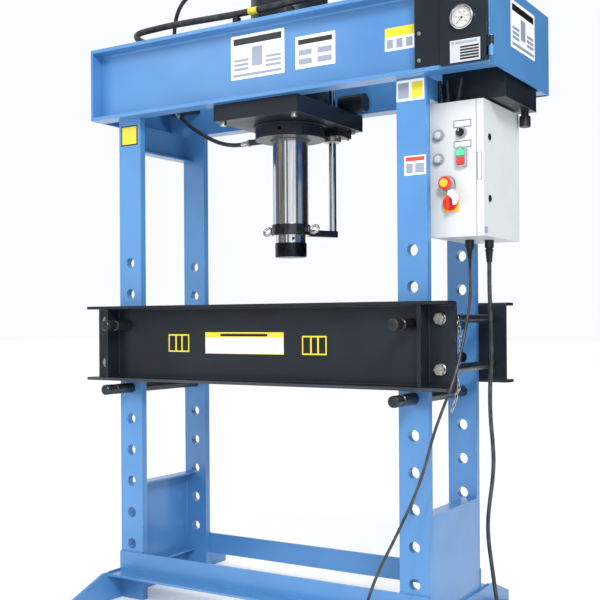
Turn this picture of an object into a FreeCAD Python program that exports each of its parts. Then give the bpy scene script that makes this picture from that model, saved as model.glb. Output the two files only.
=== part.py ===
"""Motor-driven workshop press: a steel frame of four upright bars, a blue head
that carries a vertical cylinder, and a black bed that hangs on pins.

The frame is millimetres, +Z up, with the origin on the floor under the middle of
the overall box.  The cylinder's axis stands at x = ram_x, y = 0, and -Y is the
operator's side."""
import FreeCAD, Part
import math
import os
import re
import Sketcher

doc = FreeCAD.newDocument("hydraulic_press")
sheet = doc.addObject("Spreadsheet::Sheet", "Sizes")
SIZE = {}
SUBPARTS = []


def define(**values):
    """Put driving sizes on the sheet, one aliased cell each."""
    for name, value in values.items():
        row = len(SIZE) + 1
        sheet.set(f"A{row}", name)
        sheet.set(f"B{row}", str(value))
        sheet.setAlias(f"B{row}", name)
        SIZE[name] = value


# The head and the frame
define(
    ram_x=-65.5,            # the cylinder's axis, left of the middle of the overall box
    frame_width=1200.0,     # outer edge to outer edge of the upright bars
    frame_depth=387.0,      # front face of the front bars to back face of the rear bars
    bar_width=98.0,
    bar_thick=25.0,
    hole_radius=18.0,
    hole_first=194.0,       # floor to the lowest hole
    hole_pitch=110.0,
    hole_count=10,
    head_bottom=1692.0,
    head_height=252.0,
    head_left=688.0,        # cylinder axis to the head's left end
    head_right=817.0,       # cylinder axis to the head's right end
    head_flange=50.0,       # how far the flanges stand out from the web
    head_web=10.0,
    head_sole=12.0,         # thickness of a flange
    head_root=8.0,          # fillet between web and flange
    end_plate=8.0,
    cover_sheet=3.0,        # sheet of the right end cover
    cover_length=46.0,      # how far its folded edges reach along the head
    cover_rear=22.0)        # how far it stands out behind the rear beam

# Folded plates, floor angles and feet
define(
    side_sheet=6.0,
    side_bottom=100.0,
    side_top=398.0,
    side_lip=45.0,
    brace_bottom=1588.0,
    brace_clear=9.0,        # right brace above the control cabinet
    angle_leg=75.0,
    angle_thick=8.0,
    angle_bottom=90.0,
    foot_leg=100.0,
    foot_thick=10.0,
    foot_length=850.0,
    foot_flat=570.0,        # length of the foot's level top edge
    foot_nose=45.0)         # height left at each end of the foot

# The cylinder and the ram
define(
    plate_width=328.0,
    plate_depth=430.0,
    plate_thick=55.0,
    barrel_radius=132.0,
    barrel_bore=100.0,
    barrel_top=2210.0,
    barrel_lid=42.0,
    ring_radius=119.0,
    ring_height=46.0,
    rod_radius=61.0,
    seal_height=8.0,
    seal_radius=70.0,
    running_gap=0.05,       # radial clearance where a turned part runs in a bore
    loose_gap=0.6,          # radial clearance of the loose pins
    piston_height=70.0,
    piston_bottom=1798.0,
    collar_radius=65.0,
    collar_top=1302.0,
    collar_height=36.0,
    neck_radius=51.0,
    neck_height=26.0,
    nose_radius=54.0,
    nose_height=48.0,
    eye_ring=15.0,
    eye_wire=4.5,
    eye_reach=94.0,
    boss_radius=16.0,
    boss_reach=73.0)

# The guide beside the rod
define(
    guide_x=80.0,           # from the cylinder's axis
    guide_y=147.0,
    guide_radius=13.0,
    guide_top=1810.0,
    arm_width=26.0,
    arm_height=22.0,
    block_width=100.0,
    block_depth=92.0,
    block_height=25.0,
    bush_radius=31.0,
    bush_height=11.0,
    bush_rim=4.0)

# The bed and its pins
define(
    bed_half=692.0,
    bed_bottom=772.0,
    bed_height=259.0,
    bed_flange=70.0,
    bed_thick=10.0,
    bed_bend=14.0,
    bed_gap=1.5,            # web to upright bar
    rib_x=602.0,
    rib_thick=12.0,
    tie_x=645.0,
    tie_low=60.0,           # bed's bottom to the lower tie bolt
    tie_high=208.0,
    tie_radius=9.0,
    spacer_radius=13.0,
    nut_flat=30.0,
    nut_height=14.0,
    pin_front=134.0,        # how far a pin stands out in front of the bars
    pin_rear=42.0,
    pin_chamfer=2.5,
    pin_neck=14.5,
    pin_neck_length=14.0)

# The oil tank and the blocks inside the head
define(
    tank_left=604.0,
    tank_right=803.0,
    tank_front=88.0,
    tank_bottom=1627.0,
    tank_top=1830.0,
    tank_sheet=3.0,
    cap_radius=17.0,
    cap_height=46.0,
    filter_radius=31.0,
    filter_left=118.0,
    filter_right=211.0,
    filter_height=1724.0,
    valve_left=650.0,
    valve_length=120.0,
    valve_depth=90.0,
    valve_bottom=1776.0,
    valve_height=96.0)

# The front panel and the gauge door
define(
    panel_left=587.0,
    panel_right=670.0,
    panel_sheet=3.0,
    panel_margin=0.3,
    door_left=672.0,
    door_right=814.0,
    door_fold=12.0,
    door_sheet=2.0,
    door_overlap=6.0,
    door_gap=0.5,
    knuckle_radius=6.0,
    knuckle_pin=3.0,
    knuckle_height=27.0,
    knuckle_low=17.0,
    hinge_reach=8.0,
    gauge_x=742.0,
    gauge_z=1824.0,
    gauge_case=30.0,
    gauge_bezel=34.5,
    gauge_depth=33.0,
    gauge_front=12.0,
    needle_length=24.0)

# The control cabinet
define(
    cabinet_left=583.0,
    cabinet_right=752.0,
    cabinet_front=131.0,
    cabinet_depth=296.0,
    cabinet_bottom=1221.0,
    cabinet_height=400.0,
    cabinet_sheet=2.0,
    cabinet_rim=22.0,
    cabinet_gap=0.5,
    strap_thick=8.0,
    strap_height=78.0,
    strap_low=20.0,
    strap_high=300.0,
    lock_radius=10.0,
    lock_inset=40.0,
    lock_low=111.0,
    lock_high=292.0,
    bezel_radius=15.0,
    bezel_height=6.0,
    control_gap=0.3,
    selector_x=682.0,
    selector_z=306.0,
    lamp_x=611.0,
    lamp_high=304.0,
    lamp_low=233.0,
    push_x=684.0,
    push_z=234.0,
    push_width=34.0,
    push_height=56.0,
    push_depth=12.0,
    estop_x=640.0,
    estop_z=158.0,
    estop_radius=20.0,
    estop_collar=12.0,      # height of the fixed collar behind the mushroom head
    estop_lift=6.0,         # collar to head when the button is out
    switch_x=649.0,
    switch_z=100.0,
    switch_side=50.0,
    switch_knob=22.0)

# Cables, hoses and what they end in
define(
    control_thick=9.0,
    mains_thick=13.0,
    hose_thick=15.0,
    supply_thick=22.0,
    cable_thick=9.0,
    gland_radius=14.0,
    gland_height=30.0)
doc.recompute()


def formula(text):
    """Spell a formula of sizes the way an expression needs it."""
    return re.sub(r"[a-z_]+", lambda word: "Sizes." + word.group() if word.group() in SIZE
                  else word.group(), str(text))


def value(text):
    """The number that a formula of sizes has now."""
    return float(sheet.evalExpression(formula(text)))


def bind(item, **formulas):
    for prop, text in formulas.items():
        item.setExpression(prop, formula(text))
    return item


def place(item, x, y, z, axis=None, angle=0):
    """Put an item at a place given by formulas, turned about one axis."""
    if axis:
        item.Placement.Rotation = FreeCAD.Rotation(FreeCAD.Vector(*axis), angle)
    for prop, text in (("x", x), ("y", y), ("z", z)):
        item.setExpression("Placement.Base." + prop, formula(text))
    return item


def box(x, y, z, length, width, height):
    item = doc.addObject("Part::Box", "Box")
    bind(item, Length=length, Width=width, Height=height)
    return place(item, x, y, z)


TURN = {"z": (None, 0), "x": ((0, 1, 0), 90), "y": ((1, 0, 0), -90)}


def disc(x, y, z, radius, height, along="z"):
    item = doc.addObject("Part::Cylinder", "Disc")
    bind(item, Radius=radius, Height=height)
    axis, angle = TURN[along]
    return place(item, x, y, z, axis, angle)


def cone(x, y, z, low, high, height):
    item = doc.addObject("Part::Cone", "Cone")
    bind(item, Radius1=low, Radius2=high, Height=height)
    return place(item, x, y, z)


def hexagon(x, y, z, flat, height, along="y"):
    item = doc.addObject("Part::Prism", "Hexagon")
    item.Polygon = 6
    bind(item, Circumradius=f"({flat}) / cos(30deg) / 2", Height=height)
    axis, angle = TURN[along]
    return place(item, x, y, z, axis, angle)


def fuse(*items):
    item = doc.addObject("Part::MultiFuse", "Fuse")
    item.Shapes = list(items)
    item.Refine = True
    return item


def cut(base, *tools):
    item = doc.addObject("Part::Cut", "Cut")
    item.Base = base
    item.Tool = tools[0] if len(tools) == 1 else fuse(*tools)
    item.Refine = True
    return item


def group(*items):
    """Several like solids that share one file."""
    item = doc.addObject("Part::Compound", "Group")
    item.Links = list(items)
    return item


def subpart(label, item):
    item.Label = label
    SUBPARTS.append(item)
    return item


def outline(body, plane, points):
    """A sketch of straight lines through points, each held by two formulas."""
    sketch = body.newObject("Sketcher::SketchObject", "Outline")
    origin = [f for f in body.Origin.OriginFeatures if f.Role == plane][0]
    sketch.AttachmentSupport = (origin, "")
    sketch.MapMode = "FlatFace"
    corners = [FreeCAD.Vector(value(a), value(b), 0) for a, b in points]
    for start, end in zip(corners, corners[1:] + corners[:1]):
        sketch.addGeometry(Part.LineSegment(start, end), False)
    for index in range(len(points)):
        sketch.addConstraint(Sketcher.Constraint("Coincident", index - 1 if index else len(points) - 1, 2,
                                                 index, 1))
    for index, pair in enumerate(points):
        for kind, axis, text in (("DistanceX", -2, pair[0]), ("DistanceY", -1, pair[1])):
            if text == "0":
                sketch.addConstraint(Sketcher.Constraint("PointOnObject", index, 1, axis))
                continue
            number = sketch.addConstraint(Sketcher.Constraint(kind, -1, 1, index, 1, value(text)))
            sketch.setExpression(f"Constraints[{number}]", formula(text))
    return sketch


def pad(plane, points, depth, reverse=False):
    """A body padded from an outline."""
    body = doc.addObject("PartDesign::Body", "Body")
    item = body.newObject("PartDesign::Pad", "Pad")
    item.Profile = outline(body, plane, points)
    item.Reversed = reverse
    bind(item, Length=depth)
    doc.recompute()
    return body


def lathe(points):
    """A body turned about its own Z axis from an outline of (radius, height) points."""
    body = doc.addObject("PartDesign::Body", "Body")
    item = body.newObject("PartDesign::Revolution", "Turned")
    item.Profile = outline(body, "XZ_Plane", points)
    item.ReferenceAxis = (item.Profile[0], ["V_Axis"])
    item.Angle = 360
    doc.recompute()
    return body


def round_edges(body, radius, wanted):
    """Fillet the edges of a body whose middle point passes a test."""
    base = body.Tip
    names = [f"Edge{number + 1}" for number, edge in enumerate(base.Shape.Edges)
             if wanted(edge, edge.valueAt((edge.FirstParameter + edge.LastParameter) / 2))]
    item = body.newObject("PartDesign::Fillet", "Rounded")
    item.Base = (base, names)
    bind(item, Radius=radius)
    doc.recompute()
    return item


def drill(body, plane, centre, radius):
    """A round hole right through a body, square to one of its planes."""
    sketch = body.newObject("Sketcher::SketchObject", "Drilling")
    origin = [f for f in body.Origin.OriginFeatures if f.Role == plane][0]
    sketch.AttachmentSupport = (origin, "")
    sketch.MapMode = "FlatFace"
    middle = FreeCAD.Vector(value(centre[0]), value(centre[1]), 0)
    sketch.addGeometry(Part.Circle(middle, FreeCAD.Vector(0, 0, 1), value(radius)), False)
    held = (("DistanceX", (-1, 1, 0, 3), centre[0]), ("DistanceY", (-1, 1, 0, 3), centre[1]),
            ("Radius", (0,), radius))
    for kind, where, text in held:
        number = sketch.addConstraint(Sketcher.Constraint(kind, *where, value(text)))
        sketch.setExpression(f"Constraints[{number}]", formula(text))
    item = body.newObject("PartDesign::Pocket", "Hole")
    item.Profile = sketch
    item.Type = "ThroughAll"
    item.Midplane = True
    doc.recompute()
    return item


# Places that several sub-parts share, as formulas
FRONT = "frame_depth / 2"                           # distance from the axis to either outer bar face
HEAD_FACE = "(frame_depth / 2 + head_flange)"       # front edge of the head's flanges
HEAD_TOP = "(head_bottom + head_height)"
WEB_INSIDE = "(frame_depth / 2 - head_web)"
PLATE_BOTTOM = "(head_bottom - plate_thick)"
RING_BOTTOM = "(head_bottom - plate_thick - ring_height)"
COLLAR_BOTTOM = "(collar_top - collar_height)"
NECK_BOTTOM = "(collar_top - collar_height - neck_height)"
BED_FACE = "(frame_depth / 2 + bed_gap)"            # inner face of a bed web
CABINET_FACE = "(0 - cabinet_front)"
CABINET_TOP = "(cabinet_bottom + cabinet_height)"
RIGHT_BRACE = "(cabinet_bottom + cabinet_height + brace_clear)"


# ---- The head: two channel beams with their flanges outwards ----
def head_beam(front):
    """A rolled channel on its side: web against the bars, flanges standing out."""
    reach = "head_flange + head_web"
    points = [("0", "0"), (reach, "0"), (reach, "head_height"), ("0", "head_height"),
              ("0", "head_height - head_sole"), ("head_flange", "head_height - head_sole"),
              ("head_flange", "head_sole"), ("0", "head_sole")]
    body = pad("YZ_Plane", points, "head_left + head_right - end_plate - cover_sheet")
    inner = value("head_flange")
    round_edges(body, "head_root", lambda edge, at: abs(at.y - inner) < 0.1 and edge.Length > 500 and
                value("head_sole") - 1 < at.z < value("head_height - head_sole") + 1)
    if front:
        place(body, "ram_x - head_left + end_plate", "0 - " + HEAD_FACE, "head_bottom")
    else:
        place(body, "ram_x + head_right - cover_sheet", HEAD_FACE, "head_bottom", (0, 0, 1), 180)
    return body


subpart("head_front_beam", head_beam(True))
subpart("head_rear_beam", head_beam(False))
subpart("head_left_plate", box("ram_x - head_left", "0 - " + HEAD_FACE, "head_bottom",
                               "end_plate", "2 * " + HEAD_FACE, "head_height"))

# The right end cover: a flat sheet with its rear, top and bottom edges folded round the beams,
# and the blue half of the gauge door's hinge welded to its front edge
cover_x = "ram_x + head_right - cover_sheet"
cover_back = "(" + HEAD_FACE + " + cover_rear)"
hinge_x = "ram_x + head_right + hinge_reach"
hinge_y = "0 - " + HEAD_FACE + " - door_gap - door_fold / 2"
knuckle_base = "head_bottom + knuckle_low"
right_cover = fuse(
    box(cover_x, "0 - " + HEAD_FACE, "head_bottom", "cover_sheet",
        HEAD_FACE + " + " + cover_back, "head_height"),
    box(cover_x + " - cover_length", cover_back + " - cover_sheet", "head_bottom",
        "cover_length + cover_sheet", "cover_sheet", "head_height"))
leaf = box("ram_x + head_right", hinge_y, knuckle_base, "2", "door_fold + 20", "knuckle_height")
tongue = box("ram_x + head_right", hinge_y + " - 1", knuckle_base, "hinge_reach", "2", "knuckle_height")
knuckle = disc(hinge_x, hinge_y, knuckle_base, "knuckle_radius", "knuckle_height")
stub = disc(hinge_x, hinge_y, knuckle_base, "knuckle_pin", "2 * knuckle_height - 2")
subpart("head_right_cover", fuse(right_cover, leaf, tongue, knuckle, stub))

# ---- Four flat bars with a row of holes for the bed's pins ----
for side, end, left, rear in (("left", "front", True, False), ("right", "front", False, False),
                              ("left", "rear", True, True), ("right", "rear", False, True)):
    bar = pad("XZ_Plane", [("0", "0"), ("bar_width", "0"), ("bar_width", "head_bottom"),
                           ("0", "head_bottom")], "bar_thick", reverse=True)
    hole = drill(bar, "XZ_Plane", ("bar_width / 2", "hole_first"), "hole_radius")
    row = bar.newObject("PartDesign::LinearPattern", "HoleRow")
    row.Originals = [hole]
    row.Direction = (hole.Profile[0], ["V_Axis"])
    bind(row, Length="hole_pitch * (hole_count - 1)", Occurrences="hole_count")
    bar.Tip = row
    place(bar, "ram_x - frame_width / 2" if left else "ram_x + frame_width / 2 - bar_width",
          "frame_depth / 2 - bar_thick" if rear else "0 - frame_depth / 2", "0")
    subpart(f"upright_{end}_{side}", bar)


# ---- Folded plates that tie the front and rear bars ----
def side_plate(sign, bottom, top, lips):
    """A plate between the bars, flush with their outer edge, with lips folded inwards."""
    span = "frame_depth - 2 * bar_thick"
    start = "0 - frame_depth / 2 + bar_thick"
    outer = "ram_x - frame_width / 2" if sign < 0 else "ram_x + frame_width / 2 - side_sheet"
    lip_x = outer if sign < 0 else "ram_x + frame_width / 2 - side_lip"
    pieces = [box(outer, start, bottom, "side_sheet", span, f"{top} - ({bottom})")]
    for height in lips:
        pieces.append(box(lip_x, start, height, "side_lip", span, "side_sheet"))
    return fuse(*pieces)


lower_lips = ("side_bottom", "side_top - side_sheet")
upper_lips = ("brace_bottom",)
subpart("side_plates", group(
    side_plate(-1, "side_bottom", "side_top", lower_lips),
    side_plate(1, "side_bottom", "side_top", lower_lips),
    side_plate(-1, "brace_bottom", "head_bottom", upper_lips),
    side_plate(1, RIGHT_BRACE, "head_bottom", (RIGHT_BRACE,))))

# ---- Floor angles and feet ----
ANGLE = [("0", "0"), ("angle_leg", "0"), ("angle_leg", "angle_leg"),
         ("angle_leg - angle_thick", "angle_leg"), ("angle_leg - angle_thick", "angle_thick"),
         ("0", "angle_thick")]
front_angle = place(pad("YZ_Plane", ANGLE, "frame_width"), "ram_x - frame_width / 2",
                    "0 - frame_depth / 2 - angle_leg", "angle_bottom")
rear_angle = place(pad("YZ_Plane", ANGLE, "frame_width"), "ram_x + frame_width / 2",
                   "frame_depth / 2 + angle_leg", "angle_bottom", (0, 0, 1), 180)
subpart("base_angles", group(front_angle, rear_angle))


def foot(sign):
    """An angle on the floor: its upright leg is cut down to a low nose at each end."""
    wall = pad("YZ_Plane", [("0", "0"), ("foot_length", "0"), ("foot_length", "foot_nose"),
                            ("foot_length / 2 + foot_flat / 2", "foot_leg"),
                            ("foot_length / 2 - foot_flat / 2", "foot_leg"), ("0", "foot_nose")],
               "foot_thick")
    sole_x = "ram_x - frame_width / 2 - foot_leg" if sign < 0 else "ram_x + frame_width / 2"
    wall_x = "ram_x - frame_width / 2 - foot_thick" if sign < 0 else "ram_x + frame_width / 2"
    place(wall, wall_x, "0 - foot_length / 2", "0")
    return fuse(wall, box(sole_x, "0 - foot_length / 2", "0", "foot_leg", "foot_length", "foot_thick"))


subpart("floor_feet", group(foot(-1), foot(1)))

# ---- The cylinder, hung on a thick plate under the head ----
plate = box("ram_x - plate_width / 2", "0 - plate_depth / 2", PLATE_BOTTOM,
            "plate_width", "plate_depth", "plate_thick")
rod_way = disc("ram_x", "0", PLATE_BOTTOM, "rod_radius + 6", "plate_thick")
guide_way = disc("ram_x + guide_x", "guide_y", PLATE_BOTTOM, "guide_radius + loose_gap", "plate_thick")
subpart("mount_plate", cut(plate, rod_way, guide_way))

barrel = lathe([("0", "barrel_top"), ("barrel_radius", "barrel_top"), ("barrel_radius", "head_bottom"),
                ("barrel_bore", "head_bottom"), ("barrel_bore", "barrel_top - barrel_lid"),
                ("0", "barrel_top - barrel_lid")])
subpart("cylinder_barrel", place(barrel, "ram_x", "0", "0"))

ring = disc("ram_x", "0", RING_BOTTOM, "ring_radius", "ring_height")
ring_bore = disc("ram_x", "0", RING_BOTTOM, "rod_radius + 2", "ring_height")
seal_seat = disc("ram_x", "0", RING_BOTTOM, "seal_radius", "seal_height")
port = disc("ram_x + 30", "0 - ring_radius - 1", RING_BOTTOM + " + ring_height / 2", "7", "40", "y")
subpart("gland_ring", cut(ring, ring_bore, seal_seat, port))
subpart("rod_seal", cut(disc("ram_x", "0", RING_BOTTOM, "seal_radius", "seal_height"),
                        disc("ram_x", "0", RING_BOTTOM, "rod_radius + running_gap", "seal_height")))

# The ram: piston, rod, collar with the guide's arm, neck and nose
subpart("piston", disc("ram_x", "0", "piston_bottom", "barrel_bore - running_gap", "piston_height"))
rod = lathe([("0", NECK_BOTTOM), ("neck_radius", NECK_BOTTOM), ("neck_radius", COLLAR_BOTTOM),
             ("rod_radius", COLLAR_BOTTOM), ("rod_radius", "piston_bottom"), ("0", "piston_bottom")])
place(rod, "ram_x", "0", "0")
tommy_hole = disc("ram_x + 8", "0 - neck_radius - 1", NECK_BOTTOM + " + neck_height - 6", "4.5", "16", "y")
subpart("ram_rod", cut(rod, tommy_hole))

guide_at = ("ram_x + guide_x", "guide_y")
arm_turn = math.degrees(math.atan2(SIZE["guide_y"], SIZE["guide_x"]))
arm = box("0", "0", "0", "sqrt(guide_x ^ 2 + guide_y ^ 2) + arm_width / 2", "arm_width", "arm_height")
arm.Placement.Rotation = FreeCAD.Rotation(FreeCAD.Vector(0, 0, 1), arm_turn)
arm.setExpression("Placement.Rotation.Angle", formula("atan2(guide_y; guide_x)"))
place(arm, "ram_x + arm_width / 2 * guide_y / sqrt(guide_x ^ 2 + guide_y ^ 2)",
      "0 - arm_width / 2 * guide_x / sqrt(guide_x ^ 2 + guide_y ^ 2)", COLLAR_BOTTOM)
eye_height = COLLAR_BOTTOM + " + collar_height / 2"
bosses = [disc("ram_x", "0", eye_height, "boss_radius", "boss_reach", "x"),
          disc("ram_x - boss_reach", "0", eye_height, "boss_radius", "boss_reach", "x")]
collar = cut(fuse(disc("ram_x", "0", COLLAR_BOTTOM, "collar_radius", "collar_height"), arm, *bosses),
             disc("ram_x", "0", COLLAR_BOTTOM, "rod_radius", "collar_height"))
subpart("rod_collar", collar)


def eye(sign):
    ring_part = doc.addObject("Part::Torus", "Ring")
    bind(ring_part, Radius1="eye_ring", Radius2="eye_wire")
    place(ring_part, f"ram_x + ({sign}) * eye_reach", "0", eye_height, (1, 0, 0), 60)
    shank_x = "ram_x + boss_reach" if sign > 0 else "ram_x - eye_reach + eye_ring"
    return fuse(ring_part, disc(shank_x, "0", eye_height, "eye_wire",
                                "eye_reach - eye_ring - boss_reach", "x"))


subpart("lifting_eyes", group(eye(-1), eye(1)))
nose = lathe([("0", "0"), ("nose_radius - 3", "0"), ("nose_radius", "3"), ("nose_radius", "nose_height"),
              ("0", "nose_height")])
subpart("ram_nose", place(nose, "ram_x", "0", NECK_BOTTOM + " - nose_height"))
subpart("guide_rod", disc(*guide_at, COLLAR_BOTTOM + " + arm_height", "guide_radius",
                          "guide_top - arm_height - " + COLLAR_BOTTOM))

# The guide's block under the plate, and the flanged bush in it
bush_bore = disc(*guide_at, PLATE_BOTTOM + " - block_height - bush_height",
                 "guide_radius + running_gap", "block_height + bush_height")
block = box("ram_x + guide_x + bush_radius + 20 - block_width", "guide_y + bush_radius + 14 - block_depth",
            PLATE_BOTTOM + " - block_height", "block_width", "block_depth", "block_height")
block_bore = disc(*guide_at, PLATE_BOTTOM + " - block_height", "guide_radius + bush_rim", "block_height")
ring_clear = disc("ram_x", "0", PLATE_BOTTOM + " - block_height", "ring_radius + 1", "block_height")
subpart("guide_block", cut(block, block_bore, ring_clear))
flange = disc(*guide_at, PLATE_BOTTOM + " - block_height - bush_height", "bush_radius", "bush_height")
sleeve = disc(*guide_at, PLATE_BOTTOM + " - block_height", "guide_radius + bush_rim", "block_height")
subpart("guide_bush", cut(fuse(flange, sleeve), bush_bore))


# ---- The bed: two folded channels, back to back outside the bars ----
def bed_channel(front):
    points = [("0", "0"), ("bed_flange", "0"), ("bed_flange", "bed_height"), ("0", "bed_height"),
              ("0", "bed_height - bed_thick"), ("bed_flange - bed_thick", "bed_height - bed_thick"),
              ("bed_flange - bed_thick", "bed_thick"), ("0", "bed_thick")]
    body = pad("YZ_Plane", points, "2 * bed_half")
    outer = value("bed_flange")
    top = value("bed_height")
    wall = value("bed_thick")
    round_edges(body, "bed_bend", lambda edge, at: abs(at.y - outer) < 0.1 and
                (at.z < 0.1 or at.z > top - 0.1) and edge.Length > 500)
    round_edges(body, "bed_bend - bed_thick", lambda edge, at: abs(at.y - outer + wall) < 0.1 and
                (abs(at.z - wall) < 0.1 or abs(at.z - top + wall) < 0.1) and edge.Length > 500)
    if front:
        place(body, "ram_x - bed_half", "0 - " + BED_FACE + " - bed_flange", "bed_bottom")
    else:
        place(body, "ram_x + bed_half", BED_FACE + " + bed_flange", "bed_bottom", (0, 0, 1), 180)
    rib_y = f"0 - {BED_FACE} - bed_flange + 3" if front else f"{BED_FACE} + bed_thick"
    ribs = [box(f"ram_x + ({sign}) * rib_x - rib_thick / 2", rib_y, "bed_bottom + bed_thick",
                "rib_thick", "bed_flange - bed_thick - 3", "bed_height - 2 * bed_thick")
            for sign in (-1, 1)]
    web_y = f"0 - {BED_FACE} - bed_thick - 1" if front else f"{BED_FACE} - 1"
    holes = []
    for sign in (-1, 1):
        holes.append(disc(f"ram_x + ({sign}) * (frame_width - bar_width) / 2", web_y,
                          "hole_first + 7 * hole_pitch", "hole_radius", "bed_thick + 2", "y"))
        for height in ("tie_low", "tie_high"):
            holes.append(disc(f"ram_x + ({sign}) * tie_x", web_y, f"bed_bottom + {height}",
                              "tie_radius", "bed_thick + 2", "y"))
    return cut(fuse(body, *ribs), *holes)


subpart("bed_front_channel", bed_channel(True))
subpart("bed_rear_channel", bed_channel(False))
tie_places = [(sign, height) for sign in (-1, 1) for height in ("tie_low", "tie_high")]
subpart("bed_spacers", group(*[
    cut(disc(f"ram_x + ({sign}) * tie_x", "0 - " + BED_FACE, f"bed_bottom + {height}",
             "spacer_radius", "2 * " + BED_FACE, "y"),
        disc(f"ram_x + ({sign}) * tie_x", "0 - " + BED_FACE, f"bed_bottom + {height}",
             "tie_radius", "2 * " + BED_FACE, "y"))
    for sign, height in tie_places]))


def tie_bolt(sign, height):
    x = f"ram_x + ({sign}) * tie_x"
    z = f"bed_bottom + {height}"
    web = f"({BED_FACE} + bed_thick)"
    return fuse(disc(x, f"0 - {web} - nut_height - 4", z, "tie_radius", f"2 * {web} + 2 * nut_height + 8", "y"),
                hexagon(x, f"0 - {web} - nut_height", z, "nut_flat", "nut_height"),
                hexagon(x, web, z, "nut_flat", "nut_height"))


def plate_screw(sign_x, sign_y):
    """A socket screw whose head stands under the mounting plate."""
    return disc(f"ram_x + ({sign_x}) * (plate_width / 2 - 24)", f"({sign_y}) * (plate_depth / 2 - 22)",
                PLATE_BOTTOM + " - 12", "11", "12")


screws = [plate_screw(a, b) for a, b in ((-1, -1), (1, -1), (-1, 1))]
subpart("frame_bolts", group(*[tie_bolt(*where) for where in tie_places], *screws))

# ---- Four pins of round bar, each with a neck for its chain ----
for side, sign in (("left", -1), ("right", 1)):
    for level, row in (("upper", 7), ("lower", 5)):
        radius = "hole_radius - loose_gap"
        grip = "(pin_front - bed_flange - bed_gap - pin_neck_length - 10)"
        length = "pin_front + frame_depth + pin_rear"
        pin = lathe([("0", "0"), (radius + " - pin_chamfer", "0"), (radius, "pin_chamfer"),
                     (radius, grip), ("pin_neck", grip + " + 2"),
                     ("pin_neck", grip + " + pin_neck_length - 2"), (radius, grip + " + pin_neck_length"),
                     (radius, length + " - pin_chamfer"), (radius + " - pin_chamfer", length), ("0", length)])
        place(pin, f"ram_x + ({sign}) * (frame_width - bar_width) / 2", "0 - frame_depth / 2 - pin_front",
              f"hole_first + {row} * hole_pitch", (1, 0, 0), -90)
        subpart(f"pin_{level}_{side}", pin)

# ---- Oil tank under the head's right end, and the blocks inside the head ----
def tray(x, y, z, length, width, height, wall, open_side):
    """A box of sheet with one open side."""
    past = {"top": (wall, wall, wall, 2, 2, 0), "right": (wall, wall, wall, 0, 2, 2)}[open_side]
    outer = box(x, y, z, length, width, height)
    inner = box(f"{x} + {past[0]}", f"{y} + {past[1]}", f"{z} + {past[2]}",
                f"{length} - {past[3]} * {wall}", f"{width} - {past[4]} * {wall}",
                f"{height} - {past[5]} * {wall}")
    return cut(outer, inner)


subpart("oil_tank", tray("ram_x + tank_left", "0 - tank_front", "tank_bottom", "(tank_right - tank_left)",
                         "(tank_front + " + WEB_INSIDE + ")", "(tank_top - tank_bottom)", "tank_sheet", "top"))
cap_x = "ram_x + tank_right - cap_radius - 14"
cap_y = WEB_INSIDE + " - cap_radius - 1"
subpart("drain_cap", fuse(
    disc(cap_x, cap_y, "tank_bottom - cap_height", "cap_radius", "cap_height - 12"),
    disc(cap_x, cap_y, "tank_bottom - 12", "cap_radius * 0.7", "12")))

filter_x = "ram_x + filter_left"
filter_long = "(filter_right - filter_left)"
filter_y = f"{WEB_INSIDE} - filter_radius - 4"
oil_filter = fuse(disc(filter_x, filter_y, "filter_height", "filter_radius", filter_long, "x"),
                  box(filter_x + " + 20", filter_y, "filter_height - 12", filter_long + " - 40",
                      "filter_radius + 4", "24"))
valve = box("ram_x - valve_left", f"{WEB_INSIDE} - valve_depth", "valve_bottom",
            "valve_length", "valve_depth", "valve_height")
pump = box("ram_x + tank_left + 20", "0 - tank_front + 30", "tank_top", "tank_right - tank_left - 40", "140", "84")
subpart("hydraulic_blocks", group(oil_filter, valve, pump))

# ---- Fixed front panel, and the gauge door beside it ----
panel_y = "0 - " + HEAD_FACE
subpart("front_panel", fuse(
    box("ram_x + panel_left", panel_y, "head_bottom + head_sole + panel_margin",
        "panel_right - panel_left", "panel_sheet", "head_height - 2 * head_sole - 2 * panel_margin"),
    box("ram_x + panel_left", panel_y, "head_bottom + head_sole + panel_margin", "panel_sheet",
        "head_flange - head_root", "head_height - 2 * head_sole - 2 * panel_margin")))

door_y = "0 - " + HEAD_FACE + " - door_gap - door_fold"
door_bottom = "head_bottom + door_overlap"
door_high = "(head_height - 2 * door_overlap)"
door_plate = box("ram_x + door_left", door_y, door_bottom, "door_right - door_left", "door_fold", door_high)
door_inside = box("ram_x + door_left + door_sheet", door_y + " + door_sheet", door_bottom + " + door_sheet",
                  "door_right - door_left - 2 * door_sheet", "door_fold - door_sheet",
                  door_high + " - 2 * door_sheet")
gauge_hole = disc("ram_x + gauge_x", door_y + " - 1", "gauge_z", "gauge_case", "door_fold + 2", "y")
notch_z = knuckle_base + " - control_gap"
door_notch = box("ram_x + door_right - 3", door_y + " - 1", notch_z, "10", "door_fold + 2",
                 "2 * knuckle_height + 2 * control_gap")
door_knuckle = disc(hinge_x, hinge_y, knuckle_base + " + knuckle_height + control_gap", "knuckle_radius",
                    "knuckle_height - control_gap")
door_tongue = box("ram_x + door_right - 6", hinge_y + " - 1", knuckle_base + " + knuckle_height + control_gap",
                  "head_right - door_right + hinge_reach + 6", "2", "knuckle_height - control_gap")
knuckle_bore = disc(hinge_x, hinge_y, knuckle_base, "knuckle_pin + running_gap", "3 * knuckle_height")
subpart("gauge_door", cut(fuse(cut(door_plate, door_inside, gauge_hole, door_notch), door_knuckle,
                               door_tongue), knuckle_bore))
gauge = lathe([("0", "0"), ("gauge_bezel - 3", "0"), ("gauge_bezel", "3"),
               ("gauge_bezel", "gauge_front"), ("gauge_case", "gauge_front"),
               ("gauge_case", "gauge_front + gauge_depth"), ("0", "gauge_front + gauge_depth")])
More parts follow.
